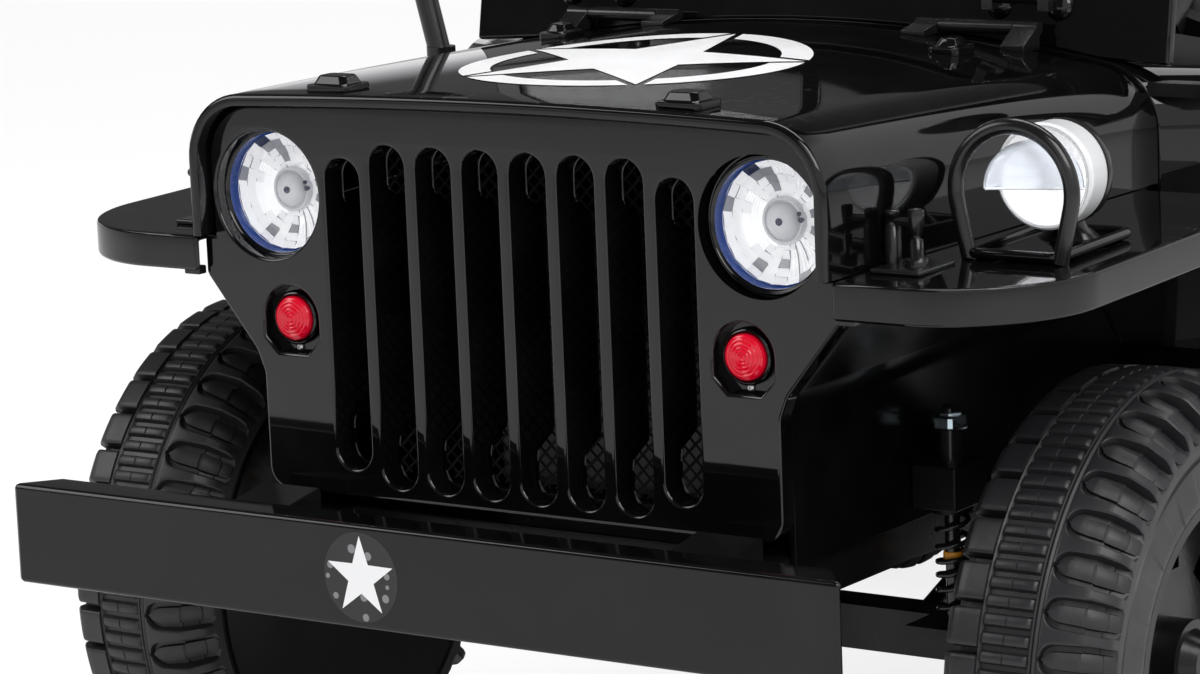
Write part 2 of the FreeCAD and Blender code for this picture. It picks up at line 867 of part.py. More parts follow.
def grille_panel():
    cutters = []
    for i in range(slot_count):
        cutters.extend(grille_slot(i))
    for sign in (1, -1):
        lamp = V(sign * headlamp_x, grille_y - overrun, headlamp_z)
        cutters.append(rod(headlamp_recess_radius, lamp, lamp + V(0, grille_depth + 2 * overrun, 0)))
        marker = V(sign * marker_x, grille_y - overrun, marker_z)
        cutters.append(rod(marker_bezel_radius, marker, marker + V(0, grille_depth + 2 * overrun, 0)))
        cutters.append(marker_pocket(sign * marker_x))
    return cut(grille_plate(), cutters)


def grille_mesh():
    half = slot_pitch * slot_count / 2 - slot_bevel
    back = grille_y + grille_depth
    return box(-half, half, back, back + mesh_wall, slot_bottom - slot_bevel, slot_top + slot_bevel)


def headlamp_housing():
    centre = V(headlamp_x, grille_y + headlamp_lens_set, headlamp_z)
    outer = headlamp_recess_radius
    profile = [(headlamp_lens_radius + fit_gap, 0), (outer, 0), (outer, headlamp_depth),
               (0, headlamp_depth), (0, headlamp_depth - headlamp_wall),
               (headlamp_lens_radius / 2, headlamp_depth - headlamp_wall),
               (headlamp_lens_radius + fit_gap, headlamp_wall * 3)]
    return spun(profile, centre, V(0, 1, 0))


def headlamp_lens():
    centre = V(headlamp_x, grille_y + headlamp_lens_set, headlamp_z)
    crown = headlamp_lens_set / 2
    profile = [(0, -crown), (headlamp_lens_radius / 2, -crown * 3 / 4), (headlamp_lens_radius, 0),
               (headlamp_lens_radius, headlamp_wall), (0, headlamp_wall)]
    return spun(profile, centre, V(0, 1, 0))


def marker_housing():
    centre = V(marker_x, grille_y, marker_z)
    profile = [(marker_lens_radius + fit_gap, 0), (marker_bezel_radius, 0), (marker_bezel_radius, marker_depth),
               (0, marker_depth), (0, marker_depth / 2), (marker_lens_radius + fit_gap, marker_depth / 2)]
    return spun(profile, centre, V(0, 1, 0))


def marker_lens():
    centre = V(marker_x, grille_y, marker_z)
    profile = [(0, -marker_lens_height / 2), (marker_lens_radius * 2 / 3, -marker_lens_height / 3),
               (marker_lens_radius, fit_gap), (marker_lens_radius, marker_lens_height), (0, marker_lens_height)]
    return spun(profile, centre, V(0, 1, 0))


def fender_top(y):
    return slope(fender_front_top, fender_rear_top, (y - grille_y) / fender_flat_length)


def hood_half(y):
    return slope(hood_front_half, hood_rear_half, (y - hood_front_y) / hood_length)


def hood_top(y):
    return slope(hood_front_top, hood_rear_top, (y - hood_front_y) / hood_length)


def hood_crown(y):
    share = (y - hood_front_y) / hood_length
    return 1 / slope(1 / hood_front_crown, 1 / hood_rear_crown, share)


def hood_surface(x, y):
    crown = hood_crown(y)
    return hood_top(y) - crown + math.sqrt(crown ** 2 - x ** 2)


def crowned_section(y, half, top, crown, corner, skin, low):
    """Closed wire with a level foot, upright sides, round shoulders and a crowned top."""
    lean = math.asin((half - corner) / (crown - corner))
    middle_z = top - crown
    shoulder_z = middle_z + (crown - corner) * math.cos(lean)
    across = crown - skin
    bend = corner - skin
    halfway = (math.pi / 2 - lean) / 2
    right = [V(half - skin, y, low), V(half - skin, y, shoulder_z),
             V(half - corner + bend * math.cos(halfway), y, shoulder_z + bend * math.sin(halfway)),
             V(across * math.sin(lean), y, middle_z + across * math.cos(lean))]
    left = [V(-p.x, p.y, p.z) for p in right]
    curves = [Part.LineSegment(right[0], right[1]), Part.Arc(right[1], right[2], right[3]),
              Part.Arc(right[3], V(0, y, top - skin), left[3]), Part.Arc(left[3], left[2], left[1]),
              Part.LineSegment(left[1], left[0]), Part.LineSegment(left[0], right[0])]
    return Part.Wire([curve.toShape() for curve in curves])


def hood_section(y, skin, low):
    return crowned_section(y, hood_half(y), hood_top(y), hood_crown(y), hood_corner, skin, low)


def hood_body(start, end, skin, drop):
    return loft([hood_section(y, skin, fender_top(y) + seam - drop) for y in (start, end)])


def hood():
    lip_end = hood_front_y + hood_lip_depth
    solid = hood_body(hood_front_y, hood_rear_y, 0, 0)
    lip_hollow = hood_body(hood_front_y - overrun, lip_end, hood_lip, overrun)
    hollow = hood_body(lip_end - seam, hood_rear_y + overrun, wall, overrun)
    return cut(solid, [lip_hollow, hollow])


def block_tier_wire(x, y, length, inset, z):
    corners = [(x + a * (length / 2 - inset), y + b * (block_width / 2 - inset), block_round)
               for a, b in ((-1, -1), (1, -1), (1, 1), (-1, 1))]
    return outline(corners, on_xy(z))


def rest_block(x, setback, length):
    y = grille_y + setback
    seat = hood_surface(x, y)
    tier = seat + block_tier
    foot = loft([block_tier_wire(x, y, length, 0, seat - block_height), block_tier_wire(x, y, length, 0, tier)])
    upper = loft([block_tier_wire(x, y, length, block_inset, tier),
                  block_tier_wire(x, y, length, block_inset + block_taper, seat + block_height)])
    return cut(fuse([foot, upper]), [hood_body(hood_front_y, hood_rear_y, 0, 0)])


def hood_blocks():
    pieces = [rest_block(sign * front_block_x, front_block_setback, front_block_length) for sign in (1, -1)]
    pieces += [rest_block(sign * rear_block_x, rear_block_setback, rear_block_length) for sign in (1, -1)]
    return together(pieces)


def bay_line(half_top, low, top, inset):
    return [(grille_lower_half - inset, low, 0), (grille_lower_half - inset, waist_low, 0),
            (waist_bend_half - inset, waist_bend, 0), (half_top - inset, waist_high, 0), (half_top - inset, top, 0)]


def bay_whole(y, half_top, low, top, inset):
    side = bay_line(half_top, low, top, inset)
    return outline(side + [(-a, b, r) for a, b, r in reversed(side)], on_xz(y))


def bay_ends():
    front = grille_y + grille_depth
    return (front, hood_half(front)), (body_front_y, hood_half(hood_rear_y))


def bay_half(y):
    (front, front_half), (rear, rear_half) = bay_ends()
    return slope(front_half, rear_half, (y - front) / (rear - front))


def bay_wall():
    wires = []
    for y, half in bay_ends():
        outer = bay_line(half, bay_bottom, fender_top(y), 0)
        inner = bay_line(half, bay_bottom, fender_top(y), wall)
        wires.append(outline(outer + inner[::-1], on_xz(y)))
    return loft(wires)


def bay_volume():
    return loft([bay_whole(y, half, bay_bottom, fender_top(y) + fender_lip, 0) for y, half in bay_ends()])


def tray():
    half = battery_length / 2 + tray_margin
    deep = battery_width / 2 + tray_margin
    return box(-rail_inner - rail_width, rail_inner + rail_width, battery_y - deep, battery_y + deep,
               rail_top, rail_top + tray_wall)


def battery():
    low = rail_top + tray_wall
    return box(-battery_length / 2, battery_length / 2, battery_y - battery_width / 2, battery_y + battery_width / 2,
               low, low + battery_height)


def fender_side(drop, low_drop):
    flat_end = grille_y + fender_flat_length
    tail = body_front_y - fit_gap
    tail_top = fender_tail_z
    return [(fender_y, fender_top(fender_y) - drop, 0), (flat_end, fender_top(flat_end) - drop, 0),
            (tail, tail_top - drop, 0), (tail, tail_top - low_drop, 0),
            (flat_end - drop / 2, fender_top(flat_end) - low_drop, 0), (fender_y, fender_top(fender_y) - low_drop, 0)]


def fender_plan(inset):
    tail = body_front_y - fit_gap
    return [(grille_lower_half, fender_y + inset, 0), (fender_outer - inset, fender_y + inset, fender_corner - inset),
            (fender_outer - inset, tail + inset, 0), (grille_lower_half, tail + inset, 0)]


def fender_block(inset, drop, low_drop):
    tall = fender_front_top + fender_lip
    body = plate(fender_side(drop, low_drop), on_yz(0), V(fender_outer, 0, 0))
    plan = plate(fender_plan(inset), on_xy(0), V(0, 0, tall))
    return body.common(plan)


def front_fender_left():
    skin = fender_block(0, 0, fender_lip)
    hollow = fender_block(wall, wall, fender_lip + overrun)
    return cut(skin, [hollow, bay_volume(), grille_block()])


def grille_block():
    face = Part.Face(grille_outline(grille_y - hood_overhang, fender_front_top + fender_lip))
    return face.extrude(V(0, grille_depth + hood_overhang, 0))


# Cowl, tub and dashboard
def cowl_front_section(skin, low):
    start = hood_rear_y + seam
    half = hood_half(hood_rear_y)
    return crowned_section(start, half, hood_rear_top, hood_rear_crown, hood_corner, skin, low)


def cowl_section(y, skin, low):
    return crowned_section(y, body_half, cowl_rear_top, cowl_crown, cowl_corner, skin, low)


def cowl_volume(skin, low):
    return loft([cowl_front_section(skin, low), cowl_section(body_front_y, skin, low)])


def cowl_deck(skin, low, end):
    return loft([cowl_section(body_front_y, skin, low), cowl_section(end, skin, low)])


def arch_space():
    """Everything under the fender tops, outside the engine bay."""
    flat_end = grille_y + fender_flat_length
    corners = [(fender_y, body_bottom - fender_lip, 0), (fender_y, fender_top(fender_y), 0),
               (flat_end, fender_top(flat_end), 0), (body_front_y - fit_gap, fender_tail_z, 0),
               (body_front_y - fit_gap, body_bottom - fender_lip, 0)]
    space = plate(corners, on_yz(-body_half - fender_lip), V(2 * (body_half + fender_lip), 0, 0))
    return space


def firewall(start):
    waist = fender_top(start) + seam
    slab = box(-bay_rear_half - wall, bay_rear_half + wall, start, start + wall, waist, hood_rear_top)
    upper = slab.common(cowl_volume(0, waist))
    lower = Part.Face(bay_whole(start, bay_half(start), rail_top, waist, wall + fit_gap)).extrude(V(0, wall, 0))
    return fuse([upper, lower])


def cowl():
    start = hood_rear_y + seam
    shell = cut(cowl_volume(0, cowl_low), [cowl_volume(wall, cowl_low - overrun)])
    shell = cut(shell, [arch_space(), bay_volume()])
    deck = cut(cowl_deck(0, body_side_top, cowl_rear_y),
               [cowl_deck(wall, body_side_top - overrun, cowl_rear_y + overrun)])
    return fuse([shell, deck, firewall(start)])


def side_silhouette():
    return [(body_front_y, body_bottom, 0), (body_front_y, body_side_top, 0), (cowl_rear_y, body_side_top, 0),
            (door_front_y + door_slope, door_sill_z, door_corner), (door_rear_y - door_slope, door_sill_z, door_corner),
            (door_rear_y, rear_side_top, rear_corner), (body_rear_y, rear_side_top, 0),
            (body_rear_y, body_bottom, 0)]


def wheel_box(radius, inner, outer):
    return rod(radius, V(inner, rear_axle_y, axle_height), V(outer, rear_axle_y, axle_height))


def front_wall_left():
    rear_half = bay_half(body_front_y)
    inner = body_half - wall
    slab = box(grille_lower_half - wall, inner, body_front_y, body_front_y + wall, body_bottom, body_side_top)
    passage = Part.Face(bay_whole(body_front_y - overrun, rear_half, bay_bottom, body_side_top + overrun, wall))
    return cut(slab, [passage.extrude(V(0, wall + 2 * overrun, 0))])


def body_side_left():
    inner = body_half - wall
    skin = plate(side_silhouette(), on_yz(inner), V(wall, 0, 0))
    skin = cut(skin, [wheel_box(arch_radius, inner - overrun, body_half + overrun)])
    cap = box(body_half - rail_cap, inner, door_rear_y + rear_corner, body_rear_y - rail_cap,
              rear_side_top - wall, rear_side_top)
    return fuse([skin, front_wall_left(), cap])


def wheel_box_left():
    inner = body_half - wall
    reach = arch_radius + wall
    shell = cut(wheel_box(reach, arch_box_half - wall, inner), [wheel_box(arch_radius, arch_box_half, inner + overrun)])
    disc = box(arch_box_half - wall, arch_box_half, rear_axle_y - reach, body_rear_y - wall,
               rail_top, axle_height + reach)
    roof = box(arch_box_half, inner, rear_axle_y - reach, body_rear_y - wall, rail_bottom, axle_height + reach)
    return shell.common(fuse([disc, roof]))


def deck_front_y():
    tilt = math.radians(back_tilt_angle)
    lean = (cushion_thick + back_height) * math.sin(tilt) + back_shell_wall * math.cos(tilt)
    return seat_front_y + seat_depth + lean + deck_gap


def floor_pan():
    inner = body_half - wall
    floor_top = rail_top + floor_wall
    toe = grille_lower_half - wall - fit_gap
    pan = box(-inner, inner, body_front_y + wall, body_rear_y - wall, rail_top, floor_top)
    toe_board = box(-toe, toe, hood_rear_y + seam + wall, body_front_y + wall, rail_top, floor_top)
    deck_half = arch_box_half - wall - deck_gap
    deck = box(-deck_half, deck_half, deck_front_y(), body_rear_y - rail_cap - deck_gap,
               floor_top, floor_top + deck_height)
    pan = fuse([pan, toe_board, deck])
    room = arch_radius + wall + fit_gap
    return cut(pan, [wheel_box(room, sign * (arch_box_half - wall - fit_gap), sign * (inner + overrun))
                     for sign in (1, -1)])


def tail_panel():
    inner = body_half - wall
    panel = box(-inner, inner, body_rear_y - wall, body_rear_y, body_bottom, rear_side_top)
    cap = box(-inner, inner, body_rear_y - rail_cap, body_rear_y - wall, rear_side_top - wall, rear_side_top)
    boss = rod(spare_hub_radius, V(0, body_rear_y, spare_z), V(0, body_rear_y + spare_gap, spare_z))
    return fuse([panel, cap, boss])


def dashboard():
    face = cowl_rear_y - dash_depth
    skin = wall + fit_gap
    panel = Part.Face(cowl_section(face, skin, dash_bottom)).extrude(V(0, dash_wall, 0))
    lip = box(skin - body_half, body_half - skin, face, face + dash_lip, dash_bottom, dash_bottom + dash_wall)
    gauge = rod(gauge_radius, V(0, face + dash_wall, gauge_z), V(0, face + dash_wall + gauge_reach, gauge_z))
    return fuse([panel, lip, gauge])


# Windscreen
def screen_frame_at(y_shift, z):
    return screen_base_y + y_shift + (z - sill_low) * math.tan(math.radians(rake_angle))


def raked(shape):
    return turned(shape, V(0, screen_base_y, sill_low), V(1, 0, 0), -rake_angle)


def windscreen_sill():
    top = sill_low + (sill_top - sill_low) / math.cos(math.radians(rake_angle))
    corners = [(-screen_half, sill_low, 0), (0, sill_low + sill_arch, sill_arch_radius), (screen_half, sill_low, 0),
               (screen_half, top, 0), (-screen_half, top, 0)]
    panel = raked(plate(corners, on_xz(screen_base_y), V(0, screen_wall, 0)))
    return cut(panel, [cowl_volume(0, cowl_low)])


def fold_axis():
    y = screen_frame_at(0, sill_top) - knuckle_radius - screen_fold_clear
    return V(0, y, sill_top)


def screen_outline(inset, low):
    narrow = screen_length * math.tan(math.radians(screen_taper_angle))
    base = screen_half - inset
    return [(-base, low + inset, 0 if inset == 0 else screen_corner / 3),
            (base, low + inset, 0 if inset == 0 else screen_corner / 3),
            (base - narrow, low + screen_length - inset, screen_corner),
            (narrow - base, low + screen_length - inset, screen_corner)]


def screen_low():
    return sill_low + (sill_top + sill_gap - sill_low) / math.cos(math.radians(rake_angle))


def windscreen_frame():
    low = screen_low()
    frame = plate(screen_outline(0, low), on_xz(screen_base_y), V(0, screen_wall, 0))
    hole = plate(screen_outline(screen_bar, low), on_xz(screen_base_y - overrun), V(0, screen_wall + 2 * overrun, 0))
    post = box(-screen_post / 2, screen_post / 2, screen_base_y, screen_base_y + screen_wall,
               low + screen_bar / 2, low + screen_length - screen_bar / 2)
    return raked(fuse([cut(frame, [hole]), post]))


def windscreen_glass():
    low = screen_low()
    middle = screen_base_y + (screen_wall - glass_wall) / 2
    pane = plate(screen_outline(screen_bar, low), on_xz(middle), V(0, glass_wall, 0))
    gap = box(-screen_post / 2, screen_post / 2, middle - overrun, middle + glass_wall + overrun, low, low + screen_length)
    return raked(cut(pane, [gap]))


def fold_hinges():
    """Barrels on the frame's foot, turning on pins held by the sill."""
    axis = fold_axis()
    pieces = []
    for x in (-knuckle_x, knuckle_x):
        start = V(x - knuckle_length / 4, axis.y, axis.z)
        end = V(x + knuckle_length / 4, axis.y, axis.z)
        barrel = rod(knuckle_radius, start, end)
        leaf = box(start.x, end.x, axis.y, screen_frame_at(0, sill_top + knuckle_radius * 2),
                   axis.z + fit_gap, axis.z + knuckle_radius * 2)
        leaf = cut(leaf, [raked(box(-screen_half, screen_half, screen_base_y, screen_base_y + screen_wall,
                                    screen_low(), screen_low() + screen_length))])
        bore = rod(knuckle_pin_radius + fit_gap, start - V(overrun, 0, 0), end + V(overrun, 0, 0))
        pieces.append(cut(fuse([barrel, leaf]), [bore]))
    return together(pieces)


def fold_bracket():
    axis = fold_axis()
    ear = knuckle_length / 8
    inner = knuckle_length / 4 + fit_gap
    ears = []
    for side in (-1, 1):
        start = V(knuckle_x + side * inner, axis.y, axis.z)
        end = V(knuckle_x + side * (inner + ear), axis.y, axis.z)
        low_x, high_x = sorted((start.x, end.x))
        ears.append(rod(knuckle_radius, start, end))
        ears.append(box(low_x, high_x, axis.y - knuckle_radius, screen_frame_at(0, sill_top - bracket_drop) + fit_gap,
                        axis.z - bracket_drop, axis.z))
    reach = inner + ear
    pin = rod(knuckle_pin_radius, V(knuckle_x - reach, axis.y, axis.z), V(knuckle_x + reach, axis.y, axis.z))
    return cut(fuse(ears + [pin]), [windscreen_sill()])


# Hood hinge and catches
def hood_axis():
    return V(0, hood_rear_y - hinge_back, hood_rear_top)


def hinge_strap(x0, x1):
    """Sloping strap from the hinge pin down onto the hood."""
    axis = hood_axis()
    front = axis.y - hinge_leaf_length
    low = axis.z - 4 * hinge_radius
    high = hood_surface((x0 + x1) / 2, front) + hinge_leaf
    corners = [(front, low, 0), (front, high, 0), (axis.y - hinge_radius / 2, axis.z + hinge_radius / 2, 0),
               (axis.y, axis.z, 0), (axis.y, low, 0)]
    return plate(corners, on_yz(x0), V(x1 - x0, 0, 0))


def hood_hinge_leaves():
    """Two ears on the hood with the pin between them, for each hinge."""
    axis = hood_axis()
    inner = hinge_x - hinge_span / 2
    outer = hinge_x + hinge_span / 2
    solids = []
    for x0, x1 in ((inner, inner + hinge_ear), (outer - hinge_ear, outer)):
        solids.append(rod(hinge_radius, V(x0, axis.y, axis.z), V(x1, axis.y, axis.z)))
        solids.append(hinge_strap(x0, x1))
    solids.append(rod(hinge_pin_radius, V(inner, axis.y, axis.z), V(outer, axis.y, axis.z)))
    return both_sides(cut(fuse(solids), [hood_body(hood_front_y, hood_rear_y, 0, 0)]))


def hood_hinge_bracket():
    """Fixed barrel on the cowl between a hinge's two ears."""
    axis = hood_axis()
    x0 = hinge_x - hinge_span / 2 + hinge_ear + fit_gap
    x1 = hinge_x + hinge_span / 2 - hinge_ear - fit_gap
    low = axis.z - hinge_radius
    rear = screen_base_y - fit_gap
    barrel = rod(hinge_radius, V(x0, axis.y, axis.z), V(x1, axis.y, axis.z))
    strap = box(x0, x1, axis.y, rear, low, axis.z)
    foot = box(x0, x1, hood_rear_y + seam, rear, axis.z - 4 * hinge_radius, axis.z)
    bore = rod(hinge_pin_radius + fit_gap, V(x0 - overrun, axis.y, axis.z), V(x1 + overrun, axis.y, axis.z))
    return cut(fuse([barrel, strap, foot]), [bore, cowl_volume(0, cowl_low)])


def hood_catch():
    base_z = fender_top(catch_y)
    base = box(catch_x - catch_width / 2, catch_x + catch_width / 2, catch_y - catch_length / 2,
               catch_y + catch_length / 2, base_z - catch_base_wall, base_z + catch_base_wall)
    posts = []
    for share in (-1, 1):
        foot = V(catch_x, catch_y + share * catch_length / 4, base_z)
        posts.append(rod(catch_post_radius, foot, foot + V(0, 0, catch_height)))
    cross_z = base_z + catch_height * 2 / 3
    cross = rod(catch_bar_radius, V(catch_x, catch_y - catch_length / 2, cross_z), V(catch_x, catch_y + catch_length / 2, cross_z))
    handle_z = base_z + catch_height
    handle = rod(catch_bar_radius, V(catch_x, catch_y - catch_handle_length / 2, handle_z),
                 V(catch_x, catch_y + catch_handle_length / 2, handle_z))
    solid = fuse([base, cross, handle] + posts)
    return cut(solid, [fender_block(0, 0, fender_lip)])


# Spot lamp
def spot_base():
    y = grille_y + spot_base_setback
    low = fender_top(y)
    top = low + spot_base_wall
    half = spot_base_width / 2
    plan = [(spot_x - half, y, spot_base_rim), (spot_x + half, y, spot_base_rim),
            (spot_x + half, y + spot_base_length, spot_base_rim), (spot_x - half, y + spot_base_length, spot_base_rim)]
    slab = plate(plan, on_xy(low - spot_base_wall), V(0, 0, 2 * spot_base_wall + spot_base_rim))
    tray = box(spot_x - half + spot_base_rim, spot_x + half - spot_base_rim, y + spot_base_rim,
               y + spot_base_length - spot_base_rim, top, top + spot_base_rim + overrun)
    return cut(slab, [tray])


def guard_hoop():
    """Horseshoe of tube: an arc and two legs that lean in."""
    y = grille_y + guard_setback
    lean = math.radians(guard_lean_angle)
    middle = V(spot_x, y, guard_z)
    ring = placed(spun(round_section(guard_radius, guard_tube_radius, guard_tube_sides), V(0, 0, 0), V(0, 0, 1)),
                  middle, V(0, 1, 0))
    low = fender_top(y)
    side_z = guard_z - guard_radius * math.sin(lean)
    side_x = guard_radius * math.cos(lean)
    foot_x = side_x - (side_z - low) * math.tan(lean)
    far = 2 * guard_radius
    below = [(spot_x, guard_z, 0), (spot_x + far * math.cos(lean), guard_z - far * math.sin(lean), 0),
             (spot_x + far, guard_z - far, 0), (spot_x - far, guard_z - far, 0),
             (spot_x - far * math.cos(lean), guard_z - far * math.sin(lean), 0)]
    arc = cut(ring, [plate(below, on_xz(y - far / 2), V(0, far, 0))])
    legs = [rod(guard_tube_radius, V(spot_x + s * foot_x, y, low), V(spot_x + s * side_x, y, side_z)) for s in (-1, 1)]
    return fuse([arc] + legs)


def spot_lamp_guard():
    return cut(fuse([guard_hoop(), spot_base()]), [fender_block(0, 0, fender_lip)])


def spot_centre():
    return V(spot_x, grille_y + spot_setback, spot_z)


def spot_lamp_body():
    """Drum with an open front, a round back and a stem on a flared foot."""
    profile = [(spot_radius - spot_wall, 0), (spot_radius, 0), (spot_radius, spot_depth * 5 / 8),
               (spot_radius * 3 / 4, spot_depth * 7 / 8), (spot_radius / 3, spot_depth), (0, spot_depth),
               (0, spot_depth - spot_wall), (spot_radius / 2, spot_depth - 2 * spot_wall),
               (spot_radius - spot_wall, spot_depth / 2)]
    shell = spun(profile, spot_centre(), V(0, 1, 0))
    base_top = fender_top(grille_y + spot_base_setback) + spot_base_wall
    foot = V(spot_x, grille_y + spot_setback + spot_depth / 2, base_top)
    flare = Part.makeCone(spot_foot_radius, spot_stem_radius, spot_foot_height, foot, V(0, 0, 1))
    stem = rod(spot_stem_radius, foot, V(foot.x, foot.y, spot_z - spot_radius + spot_wall / 2))
    return fuse([shell, stem, flare])


def spot_lamp_lens():
    reach = spot_radius - spot_wall
    profile = [(0, -spot_lens_wall), (reach / 2, -spot_lens_wall * 3 / 4), (reach, 0),
               (reach, spot_lens_wall), (0, spot_lens_wall)]
    return spun(profile, spot_centre(), V(0, 1, 0))


# Mirrors
def mirror_left():
    y = grille_y + mirror_setback
    foot = V(mirror_base_x, y, mirror_base_z)
    lean = math.radians(mirror_lean_angle)
    tip = foot + V(math.sin(lean), 0, math.cos(lean)) * mirror_stem_length
    bracket = box(screen_half - 3 * wall, foot.x, hood_rear_y + seam, y + mirror_stem_radius,
                  foot.z - mirror_bracket_wall, foot.z)
    bracket = cut(bracket, [cowl_volume(0, cowl_low)])
    sleeve = rod(mirror_stem_radius + wall / 2, foot - V(0, 0, mirror_bracket_wall), foot + V(0, 0, mirror_bracket_wall / 2))
    stem = rod(mirror_stem_radius, foot - V(0, 0, mirror_bracket_wall / 2), tip)
    head = Part.makeCone(mirror_radius, mirror_radius * 2 / 3, mirror_depth, tip + V(0, mirror_depth / 2, mirror_stem_radius), V(0, -1, 0))
    return fuse([bracket, sleeve, stem, head])


# Steering wheel and column
def steer_axis():
    tilt = math.radians(steer_tilt_angle)
    return V(0, math.cos(tilt), math.sin(tilt))


def steer_centre():
    return V(steer_x, cowl_rear_y + steer_setback, steer_wheel_z)


def steering_wheel():
    centre = steer_centre()
    axis = steer_axis()
    ring = round_section(steer_wheel_radius - steer_rim_radius, steer_rim_radius, steer_rim_sides)
    rim_ring = spun(ring, centre, axis)
    hub_low = centre - axis * steer_hub_depth
    hub = rod(steer_hub_radius, hub_low, centre + axis * (steer_hub_depth / 4))
    across = V(1, 0, 0)
    spokes = []
    reach = steer_wheel_radius - steer_rim_radius
    spoke = Part.makeBox(reach, steer_spoke_width, steer_spoke_wall, V(0, -steer_spoke_width / 2, -steer_spoke_wall))
    for i in range(steer_spoke_count):
        one = turned(spoke, V(0, 0, 0), V(0, 0, 1), 360 * i / steer_spoke_count - 90)
        one.Placement = FreeCAD.Placement(centre, FreeCAD.Rotation(across, axis.cross(across), axis, "ZXY")).multiply(one.Placement)
        spokes.append(one)
    shaft = rod(steer_shaft_radius, hub_low - axis * steer_shaft_length, hub_low)
    return fuse([rim_ring, hub, shaft] + spokes)


def column_low():
    centre = steer_centre()
    axis = steer_axis()
    face = hood_rear_y + seam + wall
    return centre - axis * ((centre.y - face) / axis.y - column_radius)


def steering_column():
    centre = steer_centre()
    axis = steer_axis()
    top = centre - axis * (steer_hub_depth + column_gap)
    low = column_low()
    tube = rod(column_radius, low, top)
    bore = rod(steer_shaft_radius + fit_gap, top - axis * (steer_shaft_length + overrun), top + axis * overrun)
    return cut(tube, [bore])


def column_hole():
    axis = steer_axis()
    return rod(column_radius + fit_gap, column_low(), steer_centre() + axis * overrun)


# Seats and small controls
def seat_shell():
    floor_top = rail_top + floor_wall
    base = box(seat_x - seat_width / 2, seat_x + seat_width / 2, seat_front_y, seat_front_y + seat_depth,
               floor_top, seat_base_top)
    hollow = box(seat_x - seat_width / 2 + seat_wall, seat_x + seat_width / 2 - seat_wall, seat_front_y + seat_wall,
                 seat_front_y + seat_depth - seat_wall, floor_top - overrun, seat_base_top - seat_wall)
    back_y = seat_front_y + seat_depth
    corners = [(seat_x - seat_width / 2, floor_top, 0), (seat_x + seat_width / 2, floor_top, 0),
               (seat_x + seat_width / 2, seat_base_top + cushion_thick + back_height, cushion_round * 2),
               (seat_x - seat_width / 2, seat_base_top + cushion_thick + back_height, cushion_round * 2)]
    back = plate(corners, on_xz(back_y), V(0, back_shell_wall, 0))
    back = turned(back, V(0, back_y, seat_base_top), V(1, 0, 0), -back_tilt_angle)
    floor_cut = box(-body_half, body_half, body_front_y, body_rear_y, 0, floor_top)
    return cut(fuse([cut(base, [hollow]), back]), [floor_cut])


def padded_block(x0, x1, y0, y1, z0, z1):
    corners = [(x0, y0, cushion_round), (x1, y0, cushion_round), (x1, y1, cushion_round), (x0, y1, cushion_round)]
    return plate(corners, on_xy(z0), V(0, 0, z1 - z0))


def seat_cushion():
    half = seat_width / 2 - fit_gap
    low = seat_base_top + fit_gap
    return padded_block(seat_x - half, seat_x + half, seat_front_y, seat_front_y + seat_depth - fit_gap - overrun / 2,
                        low, low + cushion_thick)


def back_pad():
    half = seat_width / 2 - seat_wall
    low = seat_base_top + cushion_thick + overrun
    back_y = seat_front_y + seat_depth
    corners = [(seat_x - half, low, cushion_round), (seat_x + half, low, cushion_round),
               (seat_x + half, low + back_height - cushion_round, cushion_round * 2),
               (seat_x - half, low + back_height - cushion_round, cushion_round * 2)]
    pad = plate(corners, on_xz(back_y - fit_gap - back_thick), V(0, back_thick, 0))
    return turned(pad, V(0, back_y, seat_base_top), V(1, 0, 0), -back_tilt_angle)


def gear_lever():
    foot = V(lever_x, cowl_rear_y + lever_setback, rail_top + floor_wall)
    ball = lever_knob_radius
    top = lever_length + ball
    profile = [(0, 0), (lever_boot_radius, 0), (2 * lever_radius, lever_boot_height), (lever_radius, lever_boot_height),
               (lever_radius, lever_length - ball), (ball, lever_length - ball / 3), (ball, lever_length + ball / 3),
               (ball * 2 / 3, top - ball / 4), (0, top)]
    return spun(profile, foot, V(0, 0, 1))


def pedal():
    floor_top = rail_top + floor_wall
    back = cowl_rear_y + pedal_setback
    foot = V(pedal_x, back, floor_top)
    pad = box(pedal_x - pedal_width / 2, pedal_x + pedal_width / 2, back - pedal_length, back, floor_top, floor_top + pedal_wall)
    pad = turned(pad, foot, V(1, 0, 0), -pedal_angle)
    foot_block = box(pedal_x - pedal_width / 4, pedal_x + pedal_width / 4, back - pedal_wall * 2, back, floor_top, floor_top + pedal_wall)
    floor_cut = box(-body_half, body_half, body_front_y - body_half, body_rear_y, 0, floor_top)
    return cut(fuse([pad, foot_block]), [floor_cut])


# Rear fittings
def tail_lamp_body():
    centre = V(tail_lamp_x, body_rear_y, tail_lamp_z)
    profile = [(0, 0), (tail_lamp_radius, 0), (tail_lamp_radius, tail_lamp_depth),
               (tail_lamp_radius - tail_rim, tail_lamp_depth), (tail_lamp_radius - tail_rim, tail_lamp_depth / 2),
               (0, tail_lamp_depth / 2)]
    return spun(profile, centre, V(0, 1, 0))


def tail_lamp_lens():
    centre = V(tail_lamp_x, body_rear_y, tail_lamp_z)
    reach = tail_lamp_radius - tail_rim - fit_gap
    profile = [(0, tail_lamp_depth / 2), (reach, tail_lamp_depth / 2), (reach, tail_lamp_depth),
               (reach / 2, tail_lamp_depth + tail_lens_height * 3 / 4), (0, tail_lamp_depth + tail_lens_height)]
    return spun(profile, centre, V(0, 1, 0))


